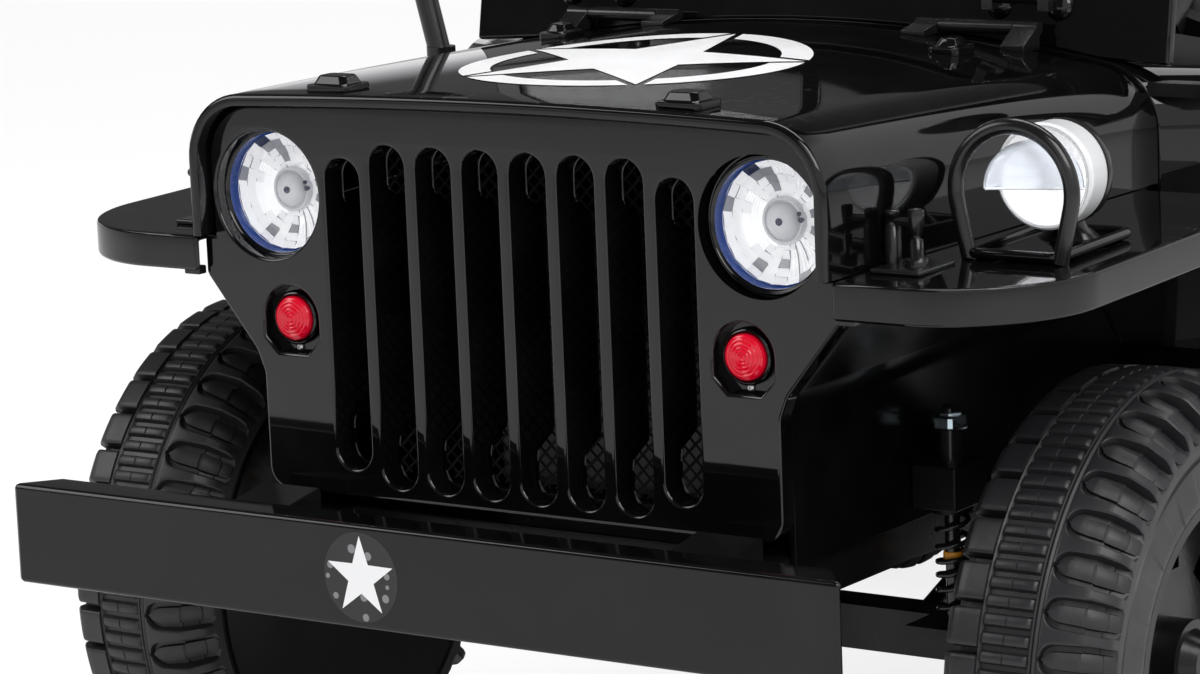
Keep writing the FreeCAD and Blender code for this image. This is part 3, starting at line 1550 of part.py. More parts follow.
def rear_bumperette():
    outer = rear_bumper_inner + rear_bumper_width
    top = bumper_bottom + bumper_height
    solid = box(rear_bumper_inner, outer, body_rear_y, body_rear_y + rear_bumper_depth, bumper_bottom, top)
    hollow = box(rear_bumper_inner - overrun, outer + overrun, body_rear_y + bumper_wall,
                 body_rear_y + rear_bumper_depth - bumper_wall, bumper_bottom + bumper_wall, top - bumper_wall)
    return cut(solid, [hollow])


def save_pairs():
    save("body_sides", both_sides(body_side_left()))
    save("wheel_boxes", both_sides(wheel_box_left()))
    save("headlamp_housings", both_sides(headlamp_housing()))
    save("headlamp_lenses", both_sides(headlamp_lens()))
    save("marker_housings", both_sides(marker_housing()))
    save("marker_lenses", both_sides(marker_lens()))
    save("front_springs", both_sides(front_shock()))
    save("rear_springs", both_sides(rear_spring()))
    save("hood_catches", both_sides(hood_catch()))
    save("mirrors", both_sides(mirror_left()))
    save("seat_shells", both_sides(seat_shell()))
    save("seat_cushions", both_sides(seat_cushion()))
    save("seat_back_pads", both_sides(back_pad()))
    save("tail_lamp_bodies", both_sides(tail_lamp_body()))
    save("tail_lamp_lenses", both_sides(tail_lamp_lens()))
    save("rear_bumperettes", both_sides(rear_bumperette()))


def save_running_gear():
    save("chassis_frame", fuse([chassis_frame(), tray()]))
    save("front_bumper", front_bumper())
    save("front_axle", front_axle())
    save("rear_axle", rear_axle())
    save("knuckle_left", knuckle_left())
    save("knuckle_right", mirrored(knuckle_left()))
    save("tie_rod", tie_rod())
    save("battery", battery())
    wheels()
    spare_wheel()


def save_body():
    save("grille_panel", grille_panel())
    save("grille_mesh", grille_mesh())
    save("hood", hood())
    save("hood_blocks", hood_blocks())
    save("hood_hinge_leaves", hood_hinge_leaves())
    save("hinge_brackets", together([both_sides(hood_hinge_bracket()), both_sides(fold_bracket())]))
    fender = front_fender_left()
    save("front_fender_left", fender)
    save("front_fender_right", mirrored(fender))
    save("engine_bay", both_sides(bay_wall()))
    save("cowl", cut(cowl(), [column_hole()]))
    save("floor_pan", floor_pan())
    save("tail_panel", tail_panel())
    save("dashboard", cut(dashboard(), [column_hole()]))
    save("windscreen_sill", windscreen_sill())
    save("windscreen_frame", windscreen_frame())
    save("windscreen_glass", windscreen_glass())
    save("windscreen_hinges", fold_hinges())
    save("spot_lamp_guard", spot_lamp_guard())
    save("spot_lamp_body", spot_lamp_body())
    save("spot_lamp_lens", spot_lamp_lens())
    save("steering_wheel", steering_wheel())
    save("steering_column", steering_column())
    save("gear_lever", gear_lever())
    save("pedal", pedal())


save_running_gear()
save_body()
save_pairs()
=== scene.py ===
import json
import math
import bmesh
import bpy
from mathutils import Matrix, Vector

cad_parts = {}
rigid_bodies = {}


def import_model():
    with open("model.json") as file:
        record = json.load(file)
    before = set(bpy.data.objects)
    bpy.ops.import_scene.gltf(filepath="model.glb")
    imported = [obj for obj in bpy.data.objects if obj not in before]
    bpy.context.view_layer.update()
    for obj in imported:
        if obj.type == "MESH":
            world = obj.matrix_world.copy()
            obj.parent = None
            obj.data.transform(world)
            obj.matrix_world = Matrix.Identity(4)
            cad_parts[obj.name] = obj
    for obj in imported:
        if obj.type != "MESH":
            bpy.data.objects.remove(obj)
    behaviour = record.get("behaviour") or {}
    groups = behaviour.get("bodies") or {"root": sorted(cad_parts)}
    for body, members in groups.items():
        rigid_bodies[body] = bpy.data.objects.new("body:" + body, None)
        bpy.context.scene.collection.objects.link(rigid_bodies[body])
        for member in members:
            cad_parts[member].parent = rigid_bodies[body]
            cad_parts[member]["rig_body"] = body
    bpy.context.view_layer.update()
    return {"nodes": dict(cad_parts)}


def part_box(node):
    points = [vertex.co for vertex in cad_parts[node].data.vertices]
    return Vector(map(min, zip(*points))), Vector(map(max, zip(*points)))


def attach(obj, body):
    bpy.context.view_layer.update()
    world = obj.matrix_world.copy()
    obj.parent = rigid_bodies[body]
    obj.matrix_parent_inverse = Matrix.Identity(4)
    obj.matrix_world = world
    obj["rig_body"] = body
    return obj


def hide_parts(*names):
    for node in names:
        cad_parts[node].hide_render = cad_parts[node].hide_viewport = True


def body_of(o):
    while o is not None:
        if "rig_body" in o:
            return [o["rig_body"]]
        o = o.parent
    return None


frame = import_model()
nodes = frame["nodes"]
scene = bpy.context.scene
mm = 0.001
tau = 2 * math.pi
bothSides = (("left", 1), ("right", -1))
print("frame loaded")

# camera, as the photograph was taken: near the ground, ahead of the car's left front corner
cameraView = {
    "place": (1.4075, -2.4491, 0.7904),
    "yaw": 34.945, "pitch": 10.365, "roll": -2.286,
    "lens": 129.207, "sensor": 36.0,
}


def placed(name, data):        # a new object in the scene
    piece = bpy.data.objects.new(name, data)
    scene.collection.objects.link(piece)
    return piece


def addCamera(view):
    yaw, pitch, roll = (math.radians(view[k]) for k in ("yaw", "pitch", "roll"))
    ahead = Vector((-math.sin(yaw) * math.cos(pitch), math.cos(yaw) * math.cos(pitch), -math.sin(pitch)))
    level = Vector((math.cos(yaw), math.sin(yaw), 0))
    raised = level.cross(ahead)
    side = math.cos(roll) * level + math.sin(roll) * raised
    top = math.cos(roll) * raised - math.sin(roll) * level
    camera = placed("camera", bpy.data.cameras.new("camera"))
    camera.data.lens = view["lens"]
    camera.data.sensor_width = view["sensor"]
    camera.data.sensor_fit = "HORIZONTAL"
    camera.data.clip_start = 0.05
    camera.matrix_world = Matrix.Translation(view["place"]) @ Matrix((side, top, -ahead)).transposed().to_4x4()
    scene.camera = camera


addCamera(cameraView)
scene.view_settings.view_transform = "Standard"


# ---- materials

def shaderOf(mat):
    return mat.node_tree.nodes["Principled BSDF"]


def newMaterial(name, colour, rough, **sockets):
    mat = bpy.data.materials.new(name)
    mat.use_nodes = True
    shader = shaderOf(mat)
    shader.inputs["Base Color"].default_value = (*colour, 1)
    shader.inputs["Roughness"].default_value = rough
    for key, value in sockets.items():
        shader.inputs[key.replace("_", " ")].default_value = value
    return mat


def addNode(owner, kind, **settings):        # owner is a material or the world
    node = owner.node_tree.nodes.new("ShaderNode" + kind)
    for key, value in settings.items():
        if key in node.inputs:
            node.inputs[key].default_value = value
        else:
            setattr(node, key, value)
    return node


def wire(owner, source, target, socket, output=0):
    owner.node_tree.links.new(source.outputs[output], target.inputs[socket])


def ramp(owner, source, ends, values=(0, 1), output=0):
    node = addNode(owner, "MapRange")
    for key, value in zip(("From Min", "From Max", "To Min", "To Max"), (*ends, *values)):
        node.inputs[key].default_value = value
    wire(owner, source, node, "Value", output)
    return node


def combine(owner, operation, *sources):
    node = addNode(owner, "Math", operation=operation)
    for socket, (source, output) in enumerate(sources):
        wire(owner, source, node, socket, output)
    return node


def colourMix(owner, first, second):
    mix = addNode(owner, "Mix", data_type="RGBA")
    mix.inputs[6].default_value = (*first, 1)
    mix.inputs[7].default_value = (*second, 1)
    return mix


def noiseOf(mat, scale, detail=4, stretch=(1, 1, 1)):
    mapping = addNode(mat, "Mapping", Scale=stretch)
    grain = addNode(mat, "TexNoise", Scale=scale, Detail=detail)
    wire(mat, addNode(mat, "TexCoord"), mapping, "Vector", "Object")
    wire(mat, mapping, grain, "Vector")
    return grain


def roughFrom(mat, scale, rough):
    wire(mat, ramp(mat, noiseOf(mat, scale), (0.3, 0.7), rough), shaderOf(mat), "Roughness")


def bumpFrom(mat, source, strength, distance, output=0):
    bump = addNode(mat, "Bump", Strength=strength, Distance=distance)
    wire(mat, source, bump, "Height", output)
    wire(mat, bump, shaderOf(mat), "Normal")


def tint(mat, grain, ends, first, second):
    mix = colourMix(mat, first, second)
    wire(mat, ramp(mat, grain, ends), mix, "Factor")
    wire(mat, mix, shaderOf(mat), "Base Color", 2)
    return mix


glossPlastic = {
    "colour": (0.0022, 0.0022, 0.0025), "handled": (0.005, 0.005, 0.0054),
    "rough": (0.025, 0.06), "scuff": (0.13, 0.13, 0.135),
}


def makeGloss(name, level=0.5, rough=glossPlastic["rough"], scuffed=False):
    g = glossPlastic
    mat = newMaterial(name, g["colour"], 0.1, Specular_IOR_Level=level)
    roughFrom(mat, 9, rough)
    clean = tint(mat, noiseOf(mat, 22, 6), (0.45, 0.75), g["colour"], g["handled"])
    bumpFrom(mat, noiseOf(mat, 11, 1), 0.035, 0.002)
    if scuffed:        # hair scratches in patches, on what faces up
        hair = combine(mat, "MAXIMUM", (noiseOf(mat, 60, 8, (1, 14, 1)), 0), (noiseOf(mat, 46, 8, (11, 1.4, 1)), 0))
        line = ramp(mat, hair, (0.665, 0.71), (0, 0.55))
        patch = ramp(mat, noiseOf(mat, 7, 2), (0.48, 0.62))
        axes = addNode(mat, "SeparateXYZ")
        wire(mat, addNode(mat, "NewGeometry"), axes, 0, "Normal")
        up = ramp(mat, axes, (0.8, 0.97), output="Z")
        share = combine(mat, "MULTIPLY", (combine(mat, "MULTIPLY", (line, 0), (patch, 0)), 0), (up, 0))
        worn = colourMix(mat, g["colour"], g["scuff"])
        wire(mat, share, worn, "Factor")
        wire(mat, clean, worn, 6, 2)
        wire(mat, worn, shaderOf(mat), "Base Color", 2)
    return mat


def makeSatin(name, colour, rough, grain, depth, pale=1.6, level=0.5):
    mat = newMaterial(name, colour, sum(rough) / 2, Specular_IOR_Level=level)
    roughFrom(mat, 30, rough)
    tint(mat, noiseOf(mat, 12, 5), (0.35, 0.75), colour, [c * pale for c in colour])
    bumpFrom(mat, noiseOf(mat, grain, 3), 0.25, depth)
    return mat


def makeMetal(name, colour, rough, grain):
    mat = newMaterial(name, colour, sum(rough) / 2, Metallic=1.0)
    roughFrom(mat, grain, rough)
    return mat


def makeClear(name, colour, rough):
    mat = newMaterial(name, colour, rough, Transmission_Weight=1.0, IOR=1.45)
    roughFrom(mat, 60, (rough * 0.6, rough * 1.6))
    return mat


def makeSeatCover():
    mat = newMaterial("seatCover", (0.014, 0.014, 0.015), 0.42)
    cells = addNode(mat, "TexVoronoi", Scale=520, feature="DISTANCE_TO_EDGE")
    wire(mat, addNode(mat, "TexCoord"), cells, "Vector", "Object")
    bumpFrom(mat, cells, 0.5, 0.0006, "Distance")
    roughFrom(mat, 40, (0.36, 0.52))
    tint(mat, noiseOf(mat, 18, 5), (0.35, 0.75), (0.012, 0.012, 0.013), (0.024, 0.024, 0.026))
    return mat


bodyGloss = makeGloss("bodyGloss", 0.45, scuffed=True)
panelGloss = makeGloss("panelGloss")
bumperGloss = makeGloss("bumperGloss", 0.35, (0.05, 0.12))
bayGloss = makeGloss("bayGloss", 0.08, (0.15, 0.3))
frameSatin = makeSatin("frameSatin", (0.0035, 0.0035, 0.0038), (0.25, 0.4), 260, 0.0004, 1.6, 0.25)
trimSatin = makeSatin("trimSatin", (0.006, 0.006, 0.0065), (0.16, 0.28), 300, 0.0002)
tyrePlastic = makeSatin("tyrePlastic", (0.0105, 0.0105, 0.012), (0.38, 0.5), 420, 0.00035, 1.5)
rimPlastic = makeSatin("rimPlastic", (0.005, 0.005, 0.0054), (0.14, 0.24), 260, 0.0002, 1.6, 0.3)
axlePaint = makeSatin("axlePaint", (0.005, 0.005, 0.0054), (0.25, 0.45), 200, 0.0004, 1.6, 0.25)
springPaint = makeSatin("springPaint", (0.008, 0.008, 0.009), (0.12, 0.22), 300, 0.0001)
zincPlate = makeMetal("zincPlate", (0.55, 0.66, 0.72), (0.18, 0.32), 90)
screwSteel = makeMetal("screwSteel", (0.62, 0.62, 0.63), (0.2, 0.35), 120)
bushOrange = makeSatin("bushOrange", (0.85, 0.36, 0.03), (0.35, 0.5), 120, 0.0002, 1.1)
reflectorSilverPaintedGlow = newMaterial("reflectorSilverPaintedGlow", (1.0, 1.0, 1.0), 0.1, Coat_Weight=0.5, Coat_Roughness=0.03,
                              Emission_Color=(1, 1, 1, 1), Emission_Strength=0.25)        # a faint painted glow that brightens the mirrors, standing in for more light
roughFrom(reflectorSilverPaintedGlow, 160, (0.08, 0.3))
lampClear = makeClear("lampClear", (0.98, 0.985, 1.0), 0.03)
visorMilk = newMaterial("visorMilk", (0.8, 0.83, 0.88), 0.14, Transmission_Weight=0.8, IOR=1.25)
roughFrom(visorMilk, 60, (0.1, 0.2))
lampFrost = makeSatin("lampFrost", (0.78, 0.79, 0.8), (0.12, 0.24), 90, 0.0003, 1.1)
lampBlue = makeSatin("lampBlue", (0.01, 0.04, 0.2), (0.15, 0.3), 120, 0.0001, 1.3)
# grey and navy facets are painted reflections in the headlamp mirror; the cone behind is grey too, and navy is also the
# small dots' own colour
navyDotsAndMirrorReflection = makeSatin("navyDotsAndMirrorReflection", (0.012, 0.02, 0.06), (0.08, 0.2), 120, 0.0001, 1.5)
mirrorGreyReflection = makeSatin("mirrorGreyReflection", (0.3, 0.31, 0.33), (0.08, 0.2), 120, 0.0002, 1.5)
lampRed = makeClear("lampRed", (0.75, 0.012, 0.02), 0.06)
redGlow = makeSatin("redGlow", (0.66, 0.003, 0.022), (0.06, 0.16), 90, 0.0001, 1.1)
screenClear = makeClear("screenClear", (0.96, 0.97, 0.975), 0.01)
seatCover = makeSeatCover()
batteryCase = makeSatin("batteryCase", (0.09, 0.09, 0.095), (0.35, 0.5), 160, 0.0003, 1.2)
decalWhite = makeSatin("decalWhite", (0.83, 0.83, 0.84), (0.3, 0.42), 60, 0.0001, 1.03)
patchPrint = makeSatin("patchPrint", (0.013, 0.013, 0.014), (0.35, 0.5), 200, 0.0001, 1.3)
dotPrint = makeSatin("dotPrint", (0.2, 0.2, 0.21), (0.35, 0.5), 200, 0.0001, 1.1)
deepDark = makeSatin("deepDark", (0.0025, 0.0025, 0.0025), (0.5, 0.7), 90, 0.0003)
print("materials made")


# ---- mesh helpers, in millimetres

def slope(start, end, share):
    return start + (end - start) * share


def meshOf(name, points, faces):
    mesh = bpy.data.meshes.new(name)
    mesh.from_pydata([tuple(c * mm for c in p) for p in points], [], faces)
    mesh.update()
    return mesh


def bmOf(*meshes):
    bm = bmesh.new()
    for mesh in meshes:
        bm.from_mesh(mesh)
    return bm


def fromBm(bm, mesh):
    bm.to_mesh(mesh)
    bm.free()
    return mesh


def newMesh(bm, name):
    return fromBm(bm, bpy.data.meshes.new(name))


def facesOut(mesh):
    bm = bmOf(mesh)
    bmesh.ops.recalc_face_normals(bm, faces=bm.faces)
    return fromBm(bm, mesh)


def facesUp(mesh):
    mesh.update()
    if sum(p.normal.z * p.area for p in mesh.polygons) < 0:
        mesh.flip_normals()
    return mesh


def onLeft(sign, nodeName):        # of a pair, the left piece stands for the node of both
    return [nodeName] if sign == 1 else []


def addPiece(name, mesh, material, body="body", hides=(), sharp=32):
    mesh.materials.clear()
    mesh.materials.append(material)
    mesh.shade_smooth()
    mesh.set_sharp_from_angle(angle=math.radians(sharp))
    piece = placed(name, mesh)
    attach(piece, body)
    if hides:
        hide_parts(*hides)
    return piece


def evaluated(holder):
    return bpy.data.meshes.new_from_object(holder.evaluated_get(bpy.context.evaluated_depsgraph_get()))


def evenNormals(mesh):
    holder = placed("holder", mesh)
    mesh.shade_smooth()
    mesh.set_sharp_from_angle(angle=math.radians(40))
    weighted = holder.modifiers.new("weighted", "WEIGHTED_NORMAL")
    weighted.keep_sharp = True
    weighted.weight = 80
    done = evaluated(holder)
    bpy.data.objects.remove(holder)
    return done


def grid(name, rows, closedAround=False, closedAlong=False):
    count = len(rows[0])
    faces = []
    for i in range(len(rows) - (0 if closedAlong else 1)):
        after = (i + 1) % len(rows)
        for j in range(count - (0 if closedAround else 1)):
            beside = (j + 1) % count
            faces.append((i * count + j, i * count + beside, after * count + beside, after * count + j))
    return meshOf(name, [p for row in rows for p in row], faces)


def lathe(name, profile, centre, axis=(0, 0, 1), sides=64, lift=lambda index, turn: 0):
    turns = [tau * k / sides for k in range(sides)]
    rows = [[(r * math.cos(turn), r * math.sin(turn), height + lift(index, turn)) for turn in turns]
            for index, (r, height) in enumerate(profile)]
    mesh = grid(name, rows, closedAround=True)
    aim = Vector(axis).normalized().to_track_quat("Z", "Y").to_matrix().to_4x4()
    mesh.transform(Matrix.Translation(Vector(centre) * mm) @ aim)
    return facesOut(mesh)


def turned(name, lamp, sign, profile, sides):        # a round form that faces ahead, on a lamp's middle
    return lathe(name, profile, (sign * lamp["x"], 0, lamp["z"]), (0, -1, 0), sides)


def sweptTube(name, path, radius, sides=12, closed=False):
    path = [Vector(p) for p in path]
    count = len(path)
    rows = []
    side = None
    for i, p in enumerate(path):
        before = path[i - 1] if i or closed else p
        after = path[(i + 1) % count] if i < count - 1 or closed else p
        ahead = (after - before).normalized()
        if side is None:
            side = ahead.orthogonal().normalized()
        side = (side - ahead * side.dot(ahead)).normalized()
        up = ahead.cross(side)
        rows.append([tuple(p + (side * math.cos(tau * k / sides) + up * math.sin(tau * k / sides)) * radius)
                     for k in range(sides)])
    return facesOut(grid(name, rows, closedAround=True, closedAlong=closed))


def joinMeshes(name, meshes):
    return newMesh(bmOf(*meshes), name)


def softened(nodeName, width):
    bm = bmOf(nodes[nodeName].data)
    bmesh.ops.remove_doubles(bm, verts=bm.verts, dist=0.00002)
    bmesh.ops.dissolve_limit(bm, angle_limit=math.radians(0.8), verts=bm.verts, edges=bm.edges)
    hard = [e for e in bm.edges if len(e.link_faces) == 2 and e.calc_face_angle() > math.radians(28)]
    bmesh.ops.bevel(bm, geom=hard, offset=width * mm, offset_type="OFFSET", segments=2,
                    profile=0.5, affect="EDGES", clamp_overlap=False)
    return evenNormals(newMesh(bm, nodeName + "_soft"))


def boxMesh(low, high, soft, sign=1):        # drawn on the car's left; a sign of -1 puts it on the right
    low, high = zip(*[sorted((a * side, b * side)) for a, b, side in zip(low, high, (sign, 1, 1))])
    bm = bmesh.new()
    bmesh.ops.create_cube(bm, size=1)
    for v in bm.verts:
        v.co = Vector([slope(low[i], high[i], v.co[i] + 0.5) * mm for i in range(3)])
    bmesh.ops.bevel(bm, geom=bm.edges[:], offset=soft * mm, offset_type="OFFSET", segments=3,
                    profile=0.5, affect="EDGES")
    return evenNormals(newMesh(bm, "softBox"))


def arcLoop(x, z, radius, start, sweep, steps):
    turns = [start + sweep * k / steps for k in range(steps + 1)]
    return [(x + radius * math.cos(turn), z + radius * math.sin(turn)) for turn in turns]


def circleLoop(x, z, radius, steps=64):
    return arcLoop(x, z, radius, 0, tau, steps)[:-1]


def stadiumLoop(x, low, high, half, steps=14):
    return arcLoop(x, high - half, half, 0, math.pi, steps) + arcLoop(x, low + half, half, math.pi, math.pi, steps)


def roundedLoop(corners, steps=8):
    loop = []
    for i, (x, z, radius) in enumerate(corners):
        here = Vector((x, z))
        before = Vector(corners[i - 1][:2]) - here
        after = Vector(corners[(i + 1) % len(corners)][:2]) - here
        if radius <= 0:
            loop.append((x, z))
            continue
        half = before.angle(after) / 2
        reach = radius / math.tan(half)
        start, end = here + before.normalized() * reach, here + after.normalized() * reach
        centre = here + (before.normalized() + after.normalized()).normalized() * radius / math.sin(half)
        first, last = start - centre, end - centre
        sweep = first.angle_signed(last)
        loop += [tuple(centre + Matrix.Rotation(-sweep * k / steps, 2) @ first) for k in range(steps + 1)]
    return loop


upright = Matrix.Rotation(math.pi / 2, 4, "X")        # stands a flat drawing up, facing ahead


def cutPlate(name, loops, front, thick, roll, rollSteps=4):
    curve = bpy.data.curves.new(name, "CURVE")
    curve.dimensions = "2D"
    curve.fill_mode = "BOTH"
    curve.extrude = (thick / 2 - roll) * mm
    curve.bevel_depth = roll * mm
    curve.bevel_resolution = rollSteps
    for loop in loops:
        spline = curve.splines.new("POLY")
        spline.points.add(len(loop) - 1)
        for point, (x, z) in zip(spline.points, loop):
            point.co = (x * mm, z * mm, 0, 1)
        spline.use_cyclic_u = True
    holder = placed(name, curve)
    mesh = evaluated(holder)
    bpy.data.objects.remove(holder)
    mesh.transform(Matrix.Translation((0, (front + thick / 2) * mm, 0)) @ upright)
    bm = bmOf(mesh)
    bmesh.ops.remove_doubles(bm, verts=bm.verts, dist=0.00001)
    return evenNormals(facesOut(fromBm(bm, mesh)))


# ---- panels that keep the CAD shape and get moulded edges

moulded = {
    "front_bumper": (bumperGloss, 2.6), "front_fender_left": (bodyGloss, 2.2), "front_fender_right": (bodyGloss, 2.2),
    "cowl": (bodyGloss, 1.0), "windscreen_sill": (bodyGloss, 2.0), "windscreen_frame": (bodyGloss, 2.4),
    "body_sides": (bodyGloss, 1.4), "tail_panel": (bodyGloss, 1.4), "rear_bumperettes": (panelGloss, 2.0),
    "seat_shells": (bodyGloss, 1.6), "dashboard": (panelGloss, 1.0), "floor_pan": (frameSatin, 1.2),
    "wheel_boxes": (frameSatin, 1.0), "chassis_frame": (frameSatin, 2.0), "engine_bay": (bayGloss, 0.8),
    "battery": (batteryCase, 3.0), "hood_blocks": (bodyGloss, 0.8), "hood_hinge_leaves": (trimSatin, 0.5),
    "hinge_brackets": (trimSatin, 0.5), "pedal": (trimSatin, 1.0),
}

plainNodes = {
    "front_axle": axlePaint, "rear_axle": axlePaint, "knuckle_left": axlePaint, "knuckle_right": axlePaint,
    "tie_rod": axlePaint, "rear_springs": springPaint, "gear_lever": trimSatin, "mirrors": trimSatin,
    "steering_column": trimSatin, "steering_wheel": trimSatin, "windscreen_hinges": trimSatin,
    "windscreen_glass": screenClear, "tail_lamp_bodies": panelGloss,
    "tail_lamp_lenses": lampRed, "rim_front_left": rimPlastic, "rim_front_right": rimPlastic,
    "rim_rear_left": rimPlastic, "rim_rear_right": rimPlastic, "spare_rim": rimPlastic,
}

for nodeName, (finish, width) in moulded.items():
    addPiece(nodeName + "_moulded", softened(nodeName, width), finish,
             body_of(nodes[nodeName])[0], [nodeName], sharp=40)

for nodeName, finish in plainNodes.items():
    mesh = nodes[nodeName].data
    mesh.materials.clear()
    mesh.materials.append(finish)
print("panels softened")


# ---- hood: one crowned shell with a rolled front lip

hoodShape = {
    "frontY": -536.5, "length": 331.0,
    "half": (218.5, 245.0), "top": (492.0, 500.5), "crown": (4600.0, 1160.0),
    "corner": 40.0, "skin": 4.0, "lip": 7.0, "lipDepth": 24.0, "roll": 3.0, "lipRoll": 1.2,
    "fenderTop": (403.0, 410.0), "fenderFrom": -524.5, "fenderLength": 298.0,
}


def fenderTop(y):
    h = hoodShape
    return slope(*h["fenderTop"], (y - h["fenderFrom"]) / h["fenderLength"])


def hoodSizes(y):
    h = hoodShape
    t = (y - h["frontY"]) / h["length"]
    return slope(*h["half"], t), slope(*h["top"], t), 1 / slope(1 / h["crown"][0], 1 / h["crown"][1], t)


def hoodHeight(x, y):
    _, top, crown = hoodSizes(y)
    return top - crown + math.sqrt(crown * crown - x * x)


def hoodLine(y, inset, low=None, cornerSteps=12, topSteps=28):        # one cross section, from left to right
    half, top, crown = hoodSizes(y)
    corner = hoodShape["corner"]
    lean = math.asin((half - corner) / (crown - corner))
    side, shoulder = half - corner, top - crown + (crown - corner) * math.cos(lean)
    base = fenderTop(y) + 0.6 if low is None else low
    left = [(half - inset, slope(base, shoulder, k / 5)) for k in range(5)]
    left += arcLoop(side, shoulder, corner - inset, 0, math.pi / 2 - lean, cornerSteps)
    for k in range(1, topSteps // 2 + 1):
        swing = lean * (1 - k / (topSteps / 2))
        left.append(((crown - inset) * math.sin(swing), top - crown + (crown - inset) * math.cos(swing)))
    return [(x, y, z) for x, z in left] + [(-x, y, z) for x, z in left[-2::-1]]


def hoodShell():
    h = hoodShape
    rear, front, lip, roll = h["frontY"] + h["length"], h["frontY"], h["lip"], h["lipRoll"]
    rows = [hoodLine(rear, h["skin"]), hoodLine(rear, 1.2), hoodLine(rear - 0.4, 0.35)]
    rows += [hoodLine(slope(rear - 1.2, front + h["roll"], k / 14), 0) for k in range(15)]
    for turn in [math.pi / 2 * k / 6 for k in range(1, 7)]:
        rows.append(hoodLine(front + h["roll"] * (1 - math.sin(turn)), h["roll"] * (1 - math.cos(turn))))
    for turn in [math.pi / 2 * k / 4 for k in range(5)]:
        rows.append(hoodLine(front + roll * (1 - math.cos(turn)), lip - roll + roll * math.sin(turn)))
    rows += [hoodLine(front + h["lipDepth"], lip), hoodLine(front + h["lipDepth"] + 0.5, h["skin"]),
             hoodLine(rear, h["skin"])]
    return facesOut(grid("hoodShell", rows))


addPiece("hood_shell", hoodShell(), bodyGloss, "hood", ["hood"], sharp=50)
print("hood made")


# ---- grille: flat panel with eight rolled slots, tunnels and wire mesh behind

grilleShape = {
    "front": -524.5, "thick": 13.0, "roll": 2.0,
    "bottom": 254.0, "lowerHalf": 178.5, "corner": 13.0,
    "waist": (323.0, 337.0, 184.0, 380.0), "upperHalf": 218.5,
    "slots": 8, "pitch": 32.75, "slotWidth": 24.5,
    "inner": (261.0, 461.0), "outer": (270.0, 452.0),
    "tunnel": 31.0, "tunnelEnds": 15.0, "endLength": 26.0,
    "lamp": (170.0, 428.5, 39.5), "marker": (156.4, 356.0, 19.5, 20.5), "markerCut": 9.0,
    "wireHalf": 126.0, "wireFrom": 262.0, "wireTo": 458.0, "wireStep": 9.0, "wireThick": (0.9, 1.1),
}


def grilleOutline():
    g = grilleShape
    inset, y = g["roll"], g["front"]
    lowWaist, bend, bendHalf, highWaist = g["waist"]
    lower, bent, outer = g["lowerHalf"] - inset, bendHalf - inset, g["upperHalf"] - inset
    lip = hoodShape["lip"] + 1.0
    inner = g["upperHalf"] - lip - inset
    shelf = fenderTop(y) - 1.0 - inset        # the panel is as wide as the hood below the hood's edge
    left = [(lower, g["bottom"] + inset, g["corner"] - inset), (lower, lowWaist, 18), (bent, bend, 18),
            (outer, highWaist, 5), (outer, shelf, 0), (inner, shelf, 0), (inner, fenderTop(y) + 6, 0)]
    right = [(-x, z, radius) for x, z, radius in left[::-1]]
    crown = [(x, z, 0) for x, _, z in hoodLine(y, lip + inset, low=fenderTop(y))[3:-3] if z > fenderTop(y) + 8]
    return roundedLoop(right[-1:] + left + crown + right[:-1])


def slotSpans():
    g = grilleShape
    for i in range(g["slots"]):
        low, high = g["outer"] if i in (0, g["slots"] - 1) else g["inner"]
        yield (i - (g["slots"] - 1) / 2) * g["pitch"], low, high


def markerLoop(sign, grow):        # round above, with cut corners below
    x, z, half, drop = grilleShape["marker"]
    wide, cut = half + grow, grilleShape["markerCut"]
    near, edge = half - cut + grow * 0.4, z - drop + cut - grow * 0.4
    return arcLoop(sign * x, z, wide, 0, math.pi, 20) + [(sign * x - wide, edge), (sign * x - near, z - drop - grow),
                                                         (sign * x + near, z - drop - grow), (sign * x + wide, edge)]


def grillePanel():
    g = grilleShape
    roll = g["roll"]
    loops = [grilleOutline()]
    for x, low, high in slotSpans():
        loops.append(stadiumLoop(x, low - roll, high + roll, g["slotWidth"] / 2 + roll)[::-1])
    x, z, radius = g["lamp"]
    for _, sign in bothSides:
        loops.append(circleLoop(sign * x, z, radius + 0.2)[::-1])
        loops.append(markerLoop(sign, roll)[::-1])
    return cutPlate("grillePanel", loops, g["front"], g["thick"], roll)


def slotTunnel(x, low, high):        # a liner that is deep along the slot and shallow at its ends
    g = grilleShape
    half = g["slotWidth"] / 2
    loop = stadiumLoop(x, low, high, half, 18)
    dense = []
    for (px, pz), (qx, qz) in zip(loop, loop[1:] + loop[:1]):
        parts = max(1, round(abs(qz - pz) / 4)) if abs(qx - px) < 0.01 else 1
        dense += [(slope(px, qx, k / parts), slope(pz, qz, k / parts)) for k in range(parts)]

    def reach(z):
        t = min(1, max(0, (min(z - low, high - z) - g["endLength"]) / 12))
        return slope(g["tunnelEnds"], g["tunnel"], t * t * (3 - 2 * t))
    rows = []
    for part, inset in ((0, 0), (0.5, 0.3), (0.93, 0.6), (0.975, 0.8), (1.0, 1.5), (0.975, 2.0)):
        row = []
        for px, pz in dense:
            away = Vector((px - x, pz - max(low + half, min(high - half, pz))))
            away = away.normalized() if away.length > 0.01 else Vector((0, 0))
            flare = 0.7 if part > 0.95 and reach(pz) < g["tunnel"] - 1 else 0
            row.append((px - away.x * (inset - flare), g["front"] + g["roll"] + reach(pz) * part,
                        pz - away.y * (inset - flare)))
        rows.append(row)
    return grid("tunnel", rows, closedAround=True)


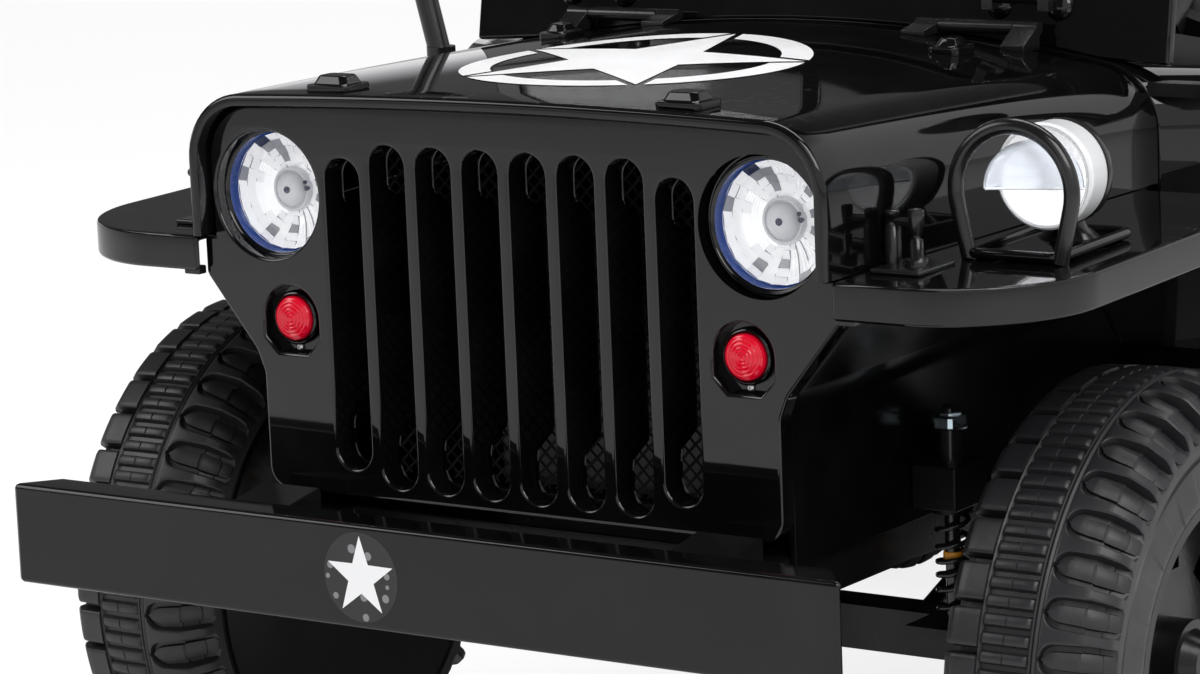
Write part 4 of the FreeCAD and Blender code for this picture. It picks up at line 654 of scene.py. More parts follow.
def wireMesh():        # crossed slanting wires, each a low roof of two faces
    g = grilleShape
    y = g["front"] + g["roll"] + g["tunnel"] + 4
    low, high, half = g["wireFrom"], g["wireTo"], g["wireHalf"]
    thick, ridge = g["wireThick"]
    points, faces = [], []
    for k in range(int((2 * half + (high - low)) / g["wireStep"])):
        x0 = -half - (high - low) + k * g["wireStep"]
        x1 = x0 + (high - low)
        z0, z1 = low + max(0, -half - x0), high - max(0, x1 - half)
        x0, x1 = max(x0, -half), min(x1, half)
        if z1 - z0 <= 2:
            continue
        for sign in (1, -1):
            along = Vector((sign * x1 - sign * x0, z1 - z0)).normalized()
            aside = Vector((-along.y, along.x)) * thick
            base = len(points)
            for px, pz in ((sign * x0, z0), (sign * x1, z1)):
                points += [(px - aside.x, y, pz - aside.y), (px, y - ridge, pz), (px + aside.x, y, pz + aside.y)]
            faces += [(base, base + 1, base + 4, base + 3), (base + 1, base + 2, base + 5, base + 4)]
    return meshOf("wireMesh", points, faces)


addPiece("grille_face", grillePanel(), panelGloss, "body", ["grille_panel"], sharp=40)
tunnels = joinMeshes("tunnels", [slotTunnel(*span) for span in slotSpans()])
addPiece("grille_tunnels", tunnels, panelGloss, sharp=45)
addPiece("grille_wire", wireMesh(), deepDark, "body", ["grille_mesh"], sharp=20)
print("grille made")


# ---- tyres: one moulding for all four road wheels, and a narrower one for the spare

tyreShape = {
    "radius": 164.0, "half": 47.3, "shoulderDrop": 5.5, "chamfer": 11.0, "innerChamfer": 6.5,
    "lugs": 40, "columns": 800, "ribBand": (-23.5, 7.0), "ring": (7.0, 12.0),
    "pocketHalf": 8.2, "pocketDeep": 5.6, "ribHeight": 3.4, "blockDeep": 8.4, "foot": 139.0, "step": 128.0,
}


def bothWays(half):        # marks over the 20 columns of a lug, mirrored about its middle
    return [(20 - i, -a) for i, a in half[::-1]] + [(10, 0)] + half


blockMarks = bothWays([(13, 0.055), (14, 0.10), (15, 0.13), (16, 0.17), (20, 0.5)])
blockDrop = [0, 0, 0, 0, 0, 0.03, 0.1, 1, 1, 1, 1, 1, 1, 1, 0.1, 0.03, 0, 0, 0, 0]
pocketDrop = [0, 0, 0, 0, 0, 0.08, 1.0, 1.0, 1.0, 0.93, 0.9, 0.93, 1.0, 1.0, 1.0, 0.08, 0, 0, 0, 0]
grooveDrop = [0, 0, 0, 0, 0, 0.1, 1.0, 1.0, 0.12, 0, 0, 0, 0.12, 1.0, 1.0, 0.1, 0, 0, 0, 0]
ribDrop = [1.0, 1.0, 0.16, 0.0, 0.0, 0.0, 0.16, 1.0]


def treadTop(a):
    t = tyreShape
    if a < 0:
        return t["radius"] - 1.2 * min(1.0, max(0.0, -a - 12.0) / 26.0)
    away = max(0.0, a - 9.0) / (t["half"] - t["chamfer"] - 9.0)
    return t["radius"] - t["shoulderDrop"] * min(1.0, away) ** 2


def along(marks, part):
    for (i, a), (j, b) in zip(marks, marks[1:]):
        if part <= j:
            return slope(a, b, (part - i) / (j - i))


def pocketMarks(half, pitch):
    return bothWays([(12, max(0, half - 3.6)), (13, max(0, half - 3.0)), (14, half), (15, half + 0.6), (16, half + 1.6),
                     (20, pitch / 2)])


def mitre(away, ends):        # how a groove's floor sinks: across, and inwards, by its distance from the tyre's face
    for end, sink in zip((0, *ends), ((1.0, 0.0), (1.0, 0.41), (0.707, 0.707), (0.41, 1.0))):
        if away <= end:
            return sink
    return 0.0, 1.0


def tyreRows():        # rings of points from the inner face to the outer one: across, radius, kind, depth, width
    t = tyreShape
    half, chamfer, foot, step, deep = t["half"], t["chamfer"], t["foot"], t["step"], t["blockDeep"]
    low, corner, inner = treadTop(half), treadTop(-half), t["innerChamfer"]
    rows = []

    def add(kind, a, r, depth=0, width=0):
        rows.append((a, r, kind, depth, width))
    for a, r in ((-half + 3.2, 126.0), (-half + 0.2, 127.5), (-half, 128.5), (-half, foot - 1)):
        add("plain", a, r)
    for r, depth in ((foot + 0.5, 3.3), (foot + 1.4, 5.5), (corner - inner - 1, 5.5)):
        add("block", -half, r, depth)
    for a in (-half + 0.8, -half + inner / 2, -half + inner - 0.8):
        add("block", a, corner - (inner - (a + half)), deep * 0.92)
    for a in (-half + inner + 0.6, -36, -30, -25.2):
        add("block", a, treadTop(a), deep)
    add("block", -24.6, treadTop(-24.6), deep * 0.9)
    add("plain", -24.2, treadTop(-24.2) - 1.6)
    start, end = t["ribBand"]
    add("plain", start + 0.2, treadTop(start) - 2.4)
    for fall, share in ((0.75, 0), (0.25, 0.03), (0, 0.08), (0, 0.3), (0, 0.48), (0.35, 0.495), (0.35, 0.505), (0, 0.52),
                        (0, 0.7), (0, 0.92), (0.25, 0.97), (0.75, 1)):
        a = slope(start + 0.8, end - 0.8, share)
        add("rib", a, treadTop(a) - fall * 2.0, t["ribHeight"] * (1 - fall * 0.6))
    first, last = t["ring"]
    for a, drop in ((0, 2.4), (0.6, 0.6), (1.2, 0.2), (1.9, 0.5), (2.3, 1.5), (2.9, 0.5), (3.5, 0.2), (4.2, 0.5),
                    (last - first, 1.3)):
        add("plain", first + a, treadTop(first + a) - drop)
    pocket = t["pocketHalf"]        # pockets: round end by the ring, open at the sidewall
    add("pocket", last + 0.8, treadTop(last) - 0.3, 0, 1.0)
    for share in (0.0, 0.10, 0.28, 0.52, 0.8, 1.0):
        a = last + 1.6 + share * pocket
        add("pocket", a, treadTop(a), slope(1.6, 2.6, share), max(pocket * math.sqrt(1 - (1 - share) ** 2), 0.6))
    for a in (25, 29, 33, half - chamfer - 0.6):
        share = (a - 20) / (half - chamfer - 20)
        add("pocket", a, treadTop(a), slope(2.8, t["pocketDeep"], share), pocket + share * 0.8)
    for a in (half - chamfer + 0.6, half - 6, half - 1.4):
        add("pocket", a, low - (chamfer - (half - a)), t["pocketDeep"], pocket + 1.0)
    for r, depth in ((low - chamfer - 3, 5.3), (foot + 4.4, 5.2), (foot + 4, 4.8), (foot + 0.2, 0.9)):
        add("pocket", half, r, depth, pocket + 0.8)
    for a, r in ((0, foot - 1.6), (0, foot - 3), (0.4, step + 3.4), (1.4, step + 2.6), (3.4, step + 1.4),
                 (3.6, step - 1.4), (2.4, step - 2.4), (2.2, 121.0)):
        add("plain", half - a, r)
    for r in (108.0, 106.5, 103.5):
        add("arc", half - 2.2, r)
    add("plain", half - 3.0, 100.4)
    add("plain", half - 6.0, 100.0)
    return rows


def tyrePoint(row, column):
    t = tyreShape
    a, r, kind, deep, width = row
    half, chamfer, inner = t["half"], t["chamfer"], t["innerChamfer"]
    pitch = tau * t["radius"] / t["lugs"]
    lug, part = divmod(column, 20)
    offset = (part / 20 - 0.5) * pitch
    if kind == "rib":
        r -= ribDrop[column % 8] * deep
    elif kind == "pocket":
        offset = along(pocketMarks(width, pitch), part)
        across, down = mitre(half - a, (2, chamfer - 1, chamfer + 1))
        drop = pocketDrop[part] * deep + grooveDrop[part] * min(2.6, deep * 2)
        a, r = a - across * drop, r - down * drop
    elif kind == "block":
        offset = along(blockMarks, part) * pitch
        across, down = mitre(half + a, (1, 1 + inner / 2, 1 + inner))
        drop = blockDrop[part] * deep
        a, r = a + across * drop, r - down * drop
    elif kind == "arc" and column % 40 < 24:        # raised arcs by the rim
        a += 0.7
    turn = ((lug + 0.5) * pitch + offset) / t["radius"]
    return a, r * math.cos(turn), r * math.sin(turn)


columns = range(tyreShape["columns"])
tyreGrid = [[tyrePoint(row, column) for column in columns] for row in tyreRows()]
roadTyre = facesOut(grid("tyreMoulding", tyreGrid, closedAround=True))
wheelPlaces = {        # place, body, and how far the pattern is turned
    "tyre_front_left": (309.7, -345, "wheel_front_left", 0.0),
    "tyre_front_right": (-309.7, -345, "wheel_front_right", 0.11),
    "tyre_rear_left": (309.7, 375, "wheel_rear_left", 0.05),
    "tyre_rear_right": (-309.7, 375, "wheel_rear_right", 0.2),
}
for nodeName, (x, y, body, spin) in wheelPlaces.items():
    flip = 0.0 if x > 0 or "front" in nodeName else math.pi
    one = roadTyre.copy()
    one.transform(Matrix.Translation((x * mm, y * mm, 0.164)) @ Matrix.Rotation(spin, 4, "X")
                  @ Matrix.Rotation(flip, 4, "Z"))
    addPiece(nodeName + "_moulding", one, tyrePlastic, body, [nodeName], sharp=30)
roadTyre.transform(Matrix.Translation((0, 0.6, 0.332)) @ Matrix.Rotation(math.pi / 2, 4, "Z")
                   @ Matrix.Diagonal((70 / 94.6, 1, 1, 1)))
addPiece("spare_tyre_moulding", roadTyre, tyrePlastic, "body", ["spare_tyre"], sharp=30)
print("tyres made")


# ---- headlamps

headlamp = {
    "x": 170.0, "z": 428.5, "recess": 37.7, "lens": 34.6, "set": 16.5, "band": 6.5,
    "rings": ((13.4, 10.8), (16.5, 10.4), (21.5, 9.0), (26.0, 6.8), (30.5, 4.2), (34.4, 1.6)),
    # one letter a facet, from the car's left, upwards: bright, shard, teeth, ribs, and grey and navy, which are painted
    # reflections
    "facets": ("bbssrbbssstttttttsssrrsb", "bgsssbbgssttttttsssrrrsg", "nnsgrbbgsstbtttbssgrrrsn",
               "nsstsrrggssbbbbbgssrrssg", "gbsbgsbsnbsgbbbbsbssgbsb"),
}
lampFace = 524.5 - headlamp["set"]        # lens rim, ahead of the car's middle


def lampCup(sign):
    r, lens, step = headlamp["recess"], headlamp["lens"], lampFace + headlamp["band"]
    profile = [(r + 0.4, 514), (r, 513.6), (r, step + 1.4), (r - 0.4, step + 0.6), (r - 1.2, step),
               (lens + 1.6, step), (lens + 0.9, step - 0.4)]
    return turned("lampCup", headlamp, sign, profile, 72)


def lampBand(sign):
    r, step = headlamp["lens"] + 0.9, lampFace + headlamp["band"]
    profile = [(r, step - 0.2), (r, lampFace + 0.6), (r - 0.9, lampFace - 0.2), (r - 0.9, lampFace - 8)]
    return turned("lampBand", headlamp, sign, profile, 72)


def reflectorBowl(sign):        # faceted mirror, and a plain cone close behind it
    h = headlamp
    points, faces, finishes = [], [], []
    step = tau / len(h["facets"][0])

    def add(r, turn, depth):
        points.append((sign * h["x"] + r * math.cos(turn), -lampFace + depth, h["z"] + r * math.sin(turn)))
    for ring, ((r0, d0), (r1, d1)) in enumerate(zip(h["rings"], h["rings"][1:])):
        for wedge, kind in enumerate(h["facets"][ring]):
            start = (wedge - 0.5) * step
            tilt = math.sin(wedge * 2.4 + ring * 1.7) * 1.1
            parts = {"t": (7, 1), "r": (1, 5)}.get(kind, (1, 1))
            for i in range(parts[0]):
                for j in range(parts[1]):
                    first = len(points)
                    bump = 0.55 if (i + j) % 2 else -0.55
                    for u, v in ((0, 0), (1, 0), (1, 1), (0, 1)):
                        outward, across = (i + u) / parts[0], (j + v) / parts[1]
                        lift = tilt * (across - 0.5) if kind in "bsgn" else bump * (1 - 2 * (u if kind == "t" else v))
                        if kind == "s":
                            lift += 1.1 * (outward - 0.5) * (1 if wedge % 2 else -1)
                        add(slope(r0, r1, outward), start + step * across, slope(d0, d1, outward) - lift)
                    faces.append((first, first + 3, first + 2, first + 1))
                    # grey and navy facets take painted reflection colours
                    finishes.append({"g": 1, "n": 2}.get(kind, 0))
    steps = 48
    for ring, (r, depth) in enumerate(h["rings"]):
        for k in range(steps):
            add(r, tau * k / steps, depth + 2.0)
        if ring:
            low = len(points) - 2 * steps
            for k in range(steps):
                after = (k + 1) % steps
                faces.append((low + k, low + after, low + steps + after, low + steps + k))
                finishes.append(1)
    return meshOf("reflector", points, faces), finishes


def bulbDome(sign):
    f = lampFace - 11
    profile = [(13.4, f - 1), (13.2, f + 3.6), (12.6, f + 4.2), (11.7, f + 4.0), (11.2, f + 2.4), (10.7, f + 2.2)]
    profile += [(10.4 * math.sin(a), f + 2.5 + 6.5 * math.cos(a))
                for a in [math.pi / 2 * k / 8 for k in range(8, -1, -1)]]
    return turned("bulbDome", headlamp, sign, profile, 40)


def lampDots(sign):
    meshes = []
    for dx, dz, r, f in ((0.8, 0.3, 2.1, lampFace - 1.7), (11.9, 1.2, 1.5, lampFace - 6.2),
                         (10.9, 4.6, 1.2, lampFace - 6.2)):
        meshes.append(lathe("dot", [(0.01, f + 0.8), (r * 0.6, f + 0.6), (r, f), (r, f - 2)],
                            (sign * headlamp["x"] + dx, 0, headlamp["z"] + dz), (0, -1, 0), 16))
    return joinMeshes("lampDots", meshes)


def lensCap(sign):
    rim = headlamp["lens"] - 0.2
    outer = [(rim * k / 8 + 0.01, lampFace + 3.4 * (1 - (k / 8) ** 2)) for k in range(9)]
    return turned("lensCap", headlamp, sign, outer + [(r, z - 1.2) for r, z in outer[::-1]], 64)


def addLens(name, mesh, hides):        # clear, and it keeps no light from the mirror behind it
    lens = addPiece(name, mesh, lampClear, hides=hides, sharp=50)
    lens.visible_shadow = False
    lens.visible_diffuse = False


for side, sign in bothSides:
    addPiece("headlamp_cup_" + side, lampCup(sign), panelGloss,
             hides=onLeft(sign, "headlamp_housings"), sharp=50)
    addPiece("headlamp_band_" + side, lampBand(sign), lampBlue, sharp=60)
    bowl, finishes = reflectorBowl(sign)
    addPiece("headlamp_reflector_" + side, bowl, reflectorSilverPaintedGlow, sharp=3)
    # the grey and navy facets are painted reflection
    bowl.materials.append(mirrorGreyReflection)
    bowl.materials.append(navyDotsAndMirrorReflection)
    bowl.polygons.foreach_set("material_index", finishes)
    addPiece("headlamp_bulb_" + side, bulbDome(sign), lampFrost, sharp=40)
    addPiece("headlamp_dots_" + side, lampDots(sign), navyDotsAndMirrorReflection, sharp=40)
    addLens("headlamp_lens_" + side, lensCap(sign), onLeft(sign, "headlamp_lenses"))
print("headlamps made")


# ---- marker lamps

marker = {"x": 156.4, "z": 356.0, "bezel": 15.3, "lens": 13.0, "floor": -516.5, "rings": 5, "screwDrop": 17.6}


def markerBezel(sign):
    bezel, lens = marker["bezel"], marker["lens"]
    profile = [(bezel + 0.8, 516.4), (bezel + 0.8, 520.2), (bezel + 0.2, 521.2), (bezel - 0.9, 521.6),
               (lens + 0.6, 521.0), (lens + 0.3, 520.0), (lens + 0.3, 517)]
    return turned("markerBezel", marker, sign, profile, 48)


def markerLens(sign):        # red cap with fine rings
    lens = marker["lens"]
    profile = [(lens, 518.0), (lens, 522.0), (lens - 0.8, 523.4)]
    steps = marker["rings"] * 4
    for k in range(steps + 1):
        r = (lens - 1.6) * (1 - k / steps) + 0.01
        profile.append((r, 523.4 + 2.2 * (1 - (r / lens) ** 2) + (0.0, 0.55, 0.7, 0.5)[k % 4] * 0.9))
    return turned("markerLens", marker, sign, profile, 48)


def screwHead(centre, axis, radius, height):
    profile = ((1, 0), (1, 0.3), (0.86, 0.75), (0.5, 1), (0.3, 1), (0.22, 0.4), (0.01 / radius, 0.35))
    return lathe("screwHead", [(radius * r, height * h) for r, h in profile], centre, axis, 24)


for side, sign in bothSides:
    pocket = cutPlate("markerPocket", [markerLoop(sign, 2.5)], marker["floor"], 5.0, 0.4, 1)
    addPiece("marker_pocket_" + side, pocket, panelGloss,
             hides=onLeft(sign, "marker_housings"), sharp=45)
    addPiece("marker_bezel_" + side, markerBezel(sign), panelGloss, sharp=50)
    addPiece("marker_lens_" + side, markerLens(sign), redGlow,
             hides=onLeft(sign, "marker_lenses"), sharp=24)
    screw = screwHead((sign * marker["x"], marker["floor"], marker["z"] - marker["screwDrop"]), (0, -1, 0), 2.6, 2.0)
    addPiece("marker_screw_" + side, screw, screwSteel, sharp=40)
print("markers made")


# ---- spot lamp on the left fender

spot = {"x": 284.0, "z": 446.5, "face": -416.5, "radius": 29.5, "stem": -388.0, "visor": 25.0, "reach": 61.0}
spotGuard = {"y": -449.5, "z": 443.0, "radius": 35.5, "tube": 4.5, "lean": 13.0,
             "front": -454.5, "length": 88.0, "half": 30.0}


def spotDrum():
    r = spot["radius"]
    profile = [(r - 2.4, 416.2), (r - 1.2, 416.6), (r, 415.6), (r, 412), (r - 0.4, 411.4), (r - 0.4, 398),
               (r - 0.8, 397.4), (r - 1.2, 394)]
    return turned("spotDrum", spot, 1, profile, 72)


def spotCap():
    r = spot["radius"]
    profile = [(r - 1.4, 396.4), (r - 0.2, 396), (r, 395), (r, 391.6), (r - 1.0, 390.2), (r - 4.5, 387),
               (r - 10, 384.8), (0.01, 384.5)]
    return turned("spotCap", spot, 1, profile, 72)


def spotReflector():
    profile = [(spot["radius"] - 2.5, 415.8), (24, 412), (19, 406), (12, 400), (8, 398), (7.4, 404), (0.01, 405)]

    def flutes(index, turn):
        return (0, 1.0, 1.6, 1.0, 0, 0, 0)[index] * math.sin(int(turn / tau * 32) * 2.9)
    return lathe("spotReflector", profile, (spot["x"], 0, spot["z"]), (0, -1, 0), 96, flutes)


def visorPoint(share, turn, grow=0.0):        # a clear pointed hood, from the lamp's face to its tip
    s = spot
    wide = s["visor"] * (1 - share) ** 0.95 + 0.2 + grow
    high = s["visor"] * math.sqrt(max(0.0, 1 - share * share)) + grow
    low = slope(s["z"] - 5.0, s["z"] + 2.5, share)
    return s["x"] + wide * math.cos(turn), s["face"] - 1.5 - s["reach"] * share, low + high * math.sin(turn)


visorShares = [math.sin(math.pi / 2 * i / 12) for i in range(13)]


def spotVisor():
    bm = bmOf(grid("visorFace", [[visorPoint(share, math.pi * k / 18) for share in visorShares] for k in range(19)]))
    bmesh.ops.solidify(bm, geom=bm.faces[:], thickness=1.2 * mm)
    return facesOut(newMesh(bm, "spotVisor"))


def visorEdge():
    near = [visorPoint(share, 0) for share in visorShares[:-1]]
    far = [visorPoint(share, math.pi) for share in visorShares[:-1]]
    return sweptTube("visorEdge", near + [visorPoint(1.0, math.pi / 2, -0.3)] + far[::-1], 0.75, 8)


def guardHoop():
    g = spotGuard
    lean = math.radians(g["lean"])
    low = fenderTop(g["y"]) + 1
    sideX, sideZ = g["radius"] * math.cos(lean), g["z"] - g["radius"] * math.sin(lean)
    footX = sideX - (sideZ - low) * math.tan(lean)
    leg = [(slope(footX, sideX, k / 4), slope(low, sideZ, k / 4)) for k in range(4)]
    arch = [(g["radius"] * math.cos(a), g["z"] + g["radius"] * math.sin(a))
            for a in [slope(-lean, math.pi + lean, k / 36) for k in range(37)]]
    path = leg + arch + [(-x, z) for x, z in leg[::-1]]
    return sweptTube("guardHoop", [(spot["x"] + x, g["y"], z) for x, z in path], g["tube"], 16)


def guardTray():
    g = spotGuard
    x0, x1, y0, y1 = spot["x"] - g["half"] + 3, spot["x"] + g["half"] - 3, g["front"] + 3, g["front"] + g["length"] - 3
    loop = roundedLoop([(x0, y0, 5), (x1, y0, 5), (x1, y1, 5), (x0, y1, 5)], 5)
    rim = sweptTube("rim", [(x, y, fenderTop(y) + 4.0) for x, y in loop], 3.0, 12, closed=True)
    slab = meshOf("slab", [(x, y, fenderTop(y) + 3.4) for x, y in loop], [tuple(range(len(loop)))])
    return joinMeshes("guardTray", [rim, facesUp(slab)])


addPiece("spot_drum", spotDrum(), lampFrost, hides=["spot_lamp_body"], sharp=40)
# the spot lamp's mirror has the same painted glow
addPiece("spot_reflector", spotReflector(), reflectorSilverPaintedGlow, sharp=5)
addPiece("spot_cap", spotCap(), trimSatin, sharp=40)
addPiece("spot_guard", guardHoop(), trimSatin, hides=["spot_lamp_guard"], sharp=50)
addPiece("spot_tray", guardTray(), panelGloss, sharp=50)
addPiece("spot_visor_edge", visorEdge(), lampFrost, sharp=60)
addPiece("spot_visor", spotVisor(), visorMilk, sharp=50).visible_shadow = False
stem = [(17, 406.8), (17, 409.5), (14.5, 411.4), (10.5, 414.5), (8.4, 419.0), (7.8, 425), (9.5, 430), (12, 434)]
stemMesh = lathe("spotStem", stem, (spot["x"], spot["stem"], 0), sides=40)
addPiece("spot_stem", stemMesh, trimSatin, sharp=40)
glass = [(0.01, 419.4), (12, 419.0), (22, 418.0), (26.8, 416.9), (26.8, 415.9), (22, 416.8), (12, 417.8), (0.01, 418.2)]
addLens("spot_glass", turned("spotGlass", spot, 1, glass, 48), ["spot_lamp_lens"])
print("spot lamp made")


# ---- hood catches and small fittings

fittings = {
    "post": (229.5, -485.0, 4.6), "grip": (246.0, -488.0), "pad": ((226.0, -505.0), (257.0, -466.0)),
    "arm": 429.5, "tab": ((219.5, -530.0, 379.0), (231.0, -523.0, 384.0)),
    "bolts": (135.5, 176.4), "boltZ": 512.5, "boltRadius": 9.2, "sillLean": 10, "knob": (-219.6, -531.5, 440.3),
}


def catchMesh(sign):        # a post and a grip on a pad, joined by a bar
    x, y, r = fittings["post"]
    gx, gy = fittings["grip"]
    (x0, y0), (x1, y1) = fittings["pad"]
    low, arm = fenderTop(y), fittings["arm"]
    pad = boxMesh((x0, y0, low - 0.5), (x1, y1, low + 2.6), 1.2, sign)
    post = lathe("post", [(r, low + 1), (r, arm - 4), (r - 0.6, arm - 3.4), (r - 1.2, arm + 2.4), (3.9, arm + 2.4),
                          (3.9, arm + 5.4), (3.2, arm + 6.2), (0.01, arm + 6.2)], (sign * x, y, 0), sides=24)
    grip = lathe("grip", [(6.4, low + 2), (6.4, low + 6.2), (5.8, low + 6.8), (3.7, low + 6.8), (3.6, low + 16.5),
                          (1.8, low + 17.5), (2.6, low + 19.5), (4.1, low + 26), (4.6, low + 31), (4.2, low + 33),
                          (2.0, low + 32.2), (0.01, low + 32)], (sign * gx, gy, 0), sides=24)
    bar = sweptTube("bar", [(sign * x, y, arm), (sign * gx, gy, arm)], 2.5, 12)
    return joinMeshes("catch", [pad, post, grip, bar])


def sillBolts():
    f = fittings
    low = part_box("windscreen_sill")[0]
    lean = math.radians(f["sillLean"])
    y = low[1] / mm + (f["boltZ"] - low[2] / mm) * math.tan(lean)
    r = f["boltRadius"]
    dome = [(r, 0), (r, 1.2)]
    dome += [(r * math.cos(a), 1.2 + 4.6 * math.sin(a)) for a in [math.pi / 2 * k / 6 for k in range(1, 7)]]
    axis = (0, -math.cos(lean), math.sin(lean))
    return joinMeshes("sillBolts", [lathe("bolt", dome, (sign * x, y + 0.4, f["boltZ"]), axis, 28)
                                    for x in f["bolts"] for _, sign in bothSides])


for side, sign in bothSides:
    addPiece("hood_catch_" + side, catchMesh(sign), trimSatin,
             hides=onLeft(sign, "hood_catches"), sharp=45)
    addPiece("fender_tab_" + side, boxMesh(*fittings["tab"], 0.8, sign), trimSatin, sharp=45)
ball = [(2.6 * math.sin(a), 2.6 * math.cos(a)) for a in [math.pi * k / 10 for k in range(1, 10)]]
knob = lathe("knob", ball, fittings["knob"], (-1, 0, 0), 16)
addPiece("hood_knob", knob, trimSatin, "hood", sharp=60)
addPiece("sill_bolts", sillBolts(), panelGloss, sharp=40)
print("fittings made")


# ---- front suspension: coil, rod, lock nut, bush

shock = {
    "x": 195.0, "y": -370.0,
    "coil": (177.0, 244.6), "radius": 9.0, "wireRadius": 1.7, "turns": 6.5, "crowding": 0.035,
    "rod": ((4.6, 177.5), (4.6, 268), (7, 268), (7, 291), (4.8, 291.4), (4.8, 303), (3.6, 304.4),
            (0.01, 304.5)),
    "bush": ((4, 213.5), (5.4, 213.5), (5.9, 214.3), (5.9, 218.7), (5.4, 219.5), (4, 219.5)),
    "cap": ((12.8, 243), (12.8, 245.4), (11.6, 246.2), (4, 246.2)),
    "nut": (291.5, 300.5, 9.6), "tower": ((178.7, -388, 246), (208.0, -352, 272)),
}


def coilMesh(x, y):
    s = shock
    wireRadius = s["wireRadius"]
    rows = []
    for k in range(221):
        share = k / 220
        turn = tau * s["turns"] * share
        z = slope(s["coil"][0] + wireRadius, s["coil"][1] - wireRadius, share + s["crowding"] * math.sin(tau * share))
        out = Vector((math.cos(turn), math.sin(turn), 0))
        centre = Vector((x, y, z)) + out * s["radius"]
        rows.append([tuple(centre + out * wireRadius * math.cos(a) + Vector((0, 0, 1)) * wireRadius * math.sin(a))
                     for a in [tau * i / 8 for i in range(8)]])
    return facesOut(grid("coil", rows, closedAround=True))


def hexNut(x, y, low, high, half):
    rows = []
    for z, r in ((low, 0.90), (low + 1.2, 1.0), (high - 2.2, 1.0), (high - 1.2, 0.9), (high - 1.2, 0.74), (high, 0.7),
                 (high, 0.5)):
        corner = half / math.cos(math.pi / 6) * r if r > 0.8 else half * r        # six sides below, a round collar above
        turns = [tau * (k + part) / 6 for k in range(6) for part in (0.12, 0.88)]
        rows.append([(x + corner * math.cos(turn), y + corner * math.sin(turn), z) for turn in turns])
    return facesOut(grid("hexNut", rows, closedAround=True))


for side, sign in bothSides:
    x, y = sign * shock["x"], shock["y"]
    addPiece("shock_coil_" + side, coilMesh(x, y), springPaint,
             hides=onLeft(sign, "front_springs"), sharp=60)
    for part, sides, finish in (("rod", 24, springPaint), ("bush", 32, bushOrange), ("cap", 32, frameSatin)):
        mesh = lathe(part, shock[part], (x, y, 0), sides=sides)
        addPiece("shock_" + part + "_" + side, mesh, finish, sharp=40)
    addPiece("shock_nut_" + side, hexNut(x, y, *shock["nut"]), zincPlate, sharp=25)
    addPiece("shock_tower_" + side, boxMesh(*shock["tower"], 1.5, sign), frameSatin, sharp=40)
print("suspension made")


# ---- decals: star in a broken ring on the hood, star in a round patch on the bumper

hoodStar = {"x": -7.0, "y": -377.0, "tip": 103.0, "valley": 41.5, "ring": (85.5, 104.0), "gap": 4.6,
            "turn": -56.0, "lift": 0.35}
bumperStar = {"x": -27.0, "z": 239.1, "face": -635.0, "patch": 25.5, "tip": 23.5, "valley": 9.2,
              "dots": ((-5.6, 15.6, 2.6), (5.6, 12.4, 2.4), (-23.0, -1.2, 1.5), (-21.0, 5.2, 2.1), (18.1, 2.1, 1.9),
                       (18.1, -3.9, 1.3), (16.6, -10.5, 2.4), (1.5, -11.2, 2.4), (-18.0, -12.0, 1.9), (2.3, -22.6, 2.2))}


def flatMesh(name, outlines, steps=0):
    bm = bmesh.new()
    for outline in outlines:
        bm.faces.new([bm.verts.new((x * mm, y * mm, 0)) for x, y in outline])
    bmesh.ops.triangulate(bm, faces=bm.faces[:])
    for _ in range(steps):
        bmesh.ops.subdivide_edges(bm, edges=bm.edges[:], cuts=1, use_grid_fill=True)
    return newMesh(bm, name)


def starLoop(x, y, tip, valley, turn):
    spokes = [(valley if k % 2 else tip, math.radians(turn + 36 * k)) for k in range(10)]
    return [(x + r * math.cos(a), y + r * math.sin(a)) for r, a in spokes]


def armAngle(star, radius):        # where the ring stops short of a star's arm
    tip = Vector((star["tip"], 0))
    valley = Vector((star["valley"] * math.cos(math.radians(36)), star["valley"] * math.sin(math.radians(36))))
    inward = (valley - tip).normalized()
    start = tip + Vector((inward.y, -inward.x)) * star["gap"]
    reach = start.dot(inward)
    back = math.sqrt(max(0.0, reach * reach - start.length_squared + radius * radius))
    point = start + inward * (-reach - back)
    return math.degrees(math.atan2(point.y, point.x))


def ringArcs(star, count=16):
    arcs = []
    ends = [(radius, armAngle(star, radius)) for radius in star["ring"]]
    for turn in [star["turn"] + 72 * k for k in range(5)]:
        for i in range(count):
            corners = []
            for j, order in ((i, 1), (i + 1, -1)):
                for radius, gap in ends[::order]:
                    a = math.radians(slope(turn + gap, turn + 72 - gap, j / count))
                    corners.append((star["x"] + radius * math.cos(a), star["y"] + radius * math.sin(a)))
            arcs.append(corners)
    return arcs


def hoodDecal():
    s = hoodStar
    mesh = flatMesh("hoodDecal", [starLoop(s["x"], s["y"], s["tip"], s["valley"], s["turn"])] + ringArcs(s), 3)
    for v in mesh.vertices:
        v.co.z = (hoodHeight(v.co.x / mm, v.co.y / mm) + s["lift"]) * mm
    return facesUp(mesh)


addPiece("hood_star", hoodDecal(), decalWhite, "hood")
for name, outlines, lift, finish in (
        ("patch", [circleLoop(0, 0, bumperStar["patch"], 48)], 0.12, patchPrint),
        ("dots", [circleLoop(x, z, r, 16) for x, z, r in bumperStar["dots"]], 0.16, dotPrint),
        ("star", [starLoop(0, 0, bumperStar["tip"], bumperStar["valley"], 90)], 0.2, decalWhite)):
    mesh = facesUp(flatMesh(name, outlines))
    place = (bumperStar["x"], bumperStar["face"] - lift, bumperStar["z"])
    mesh.transform(Matrix.Translation(Vector(place) * mm) @ upright)
    addPiece("bumper_" + name, mesh, finish)
print("decals made")


# ---- seats: pads that the cloth solver blows up

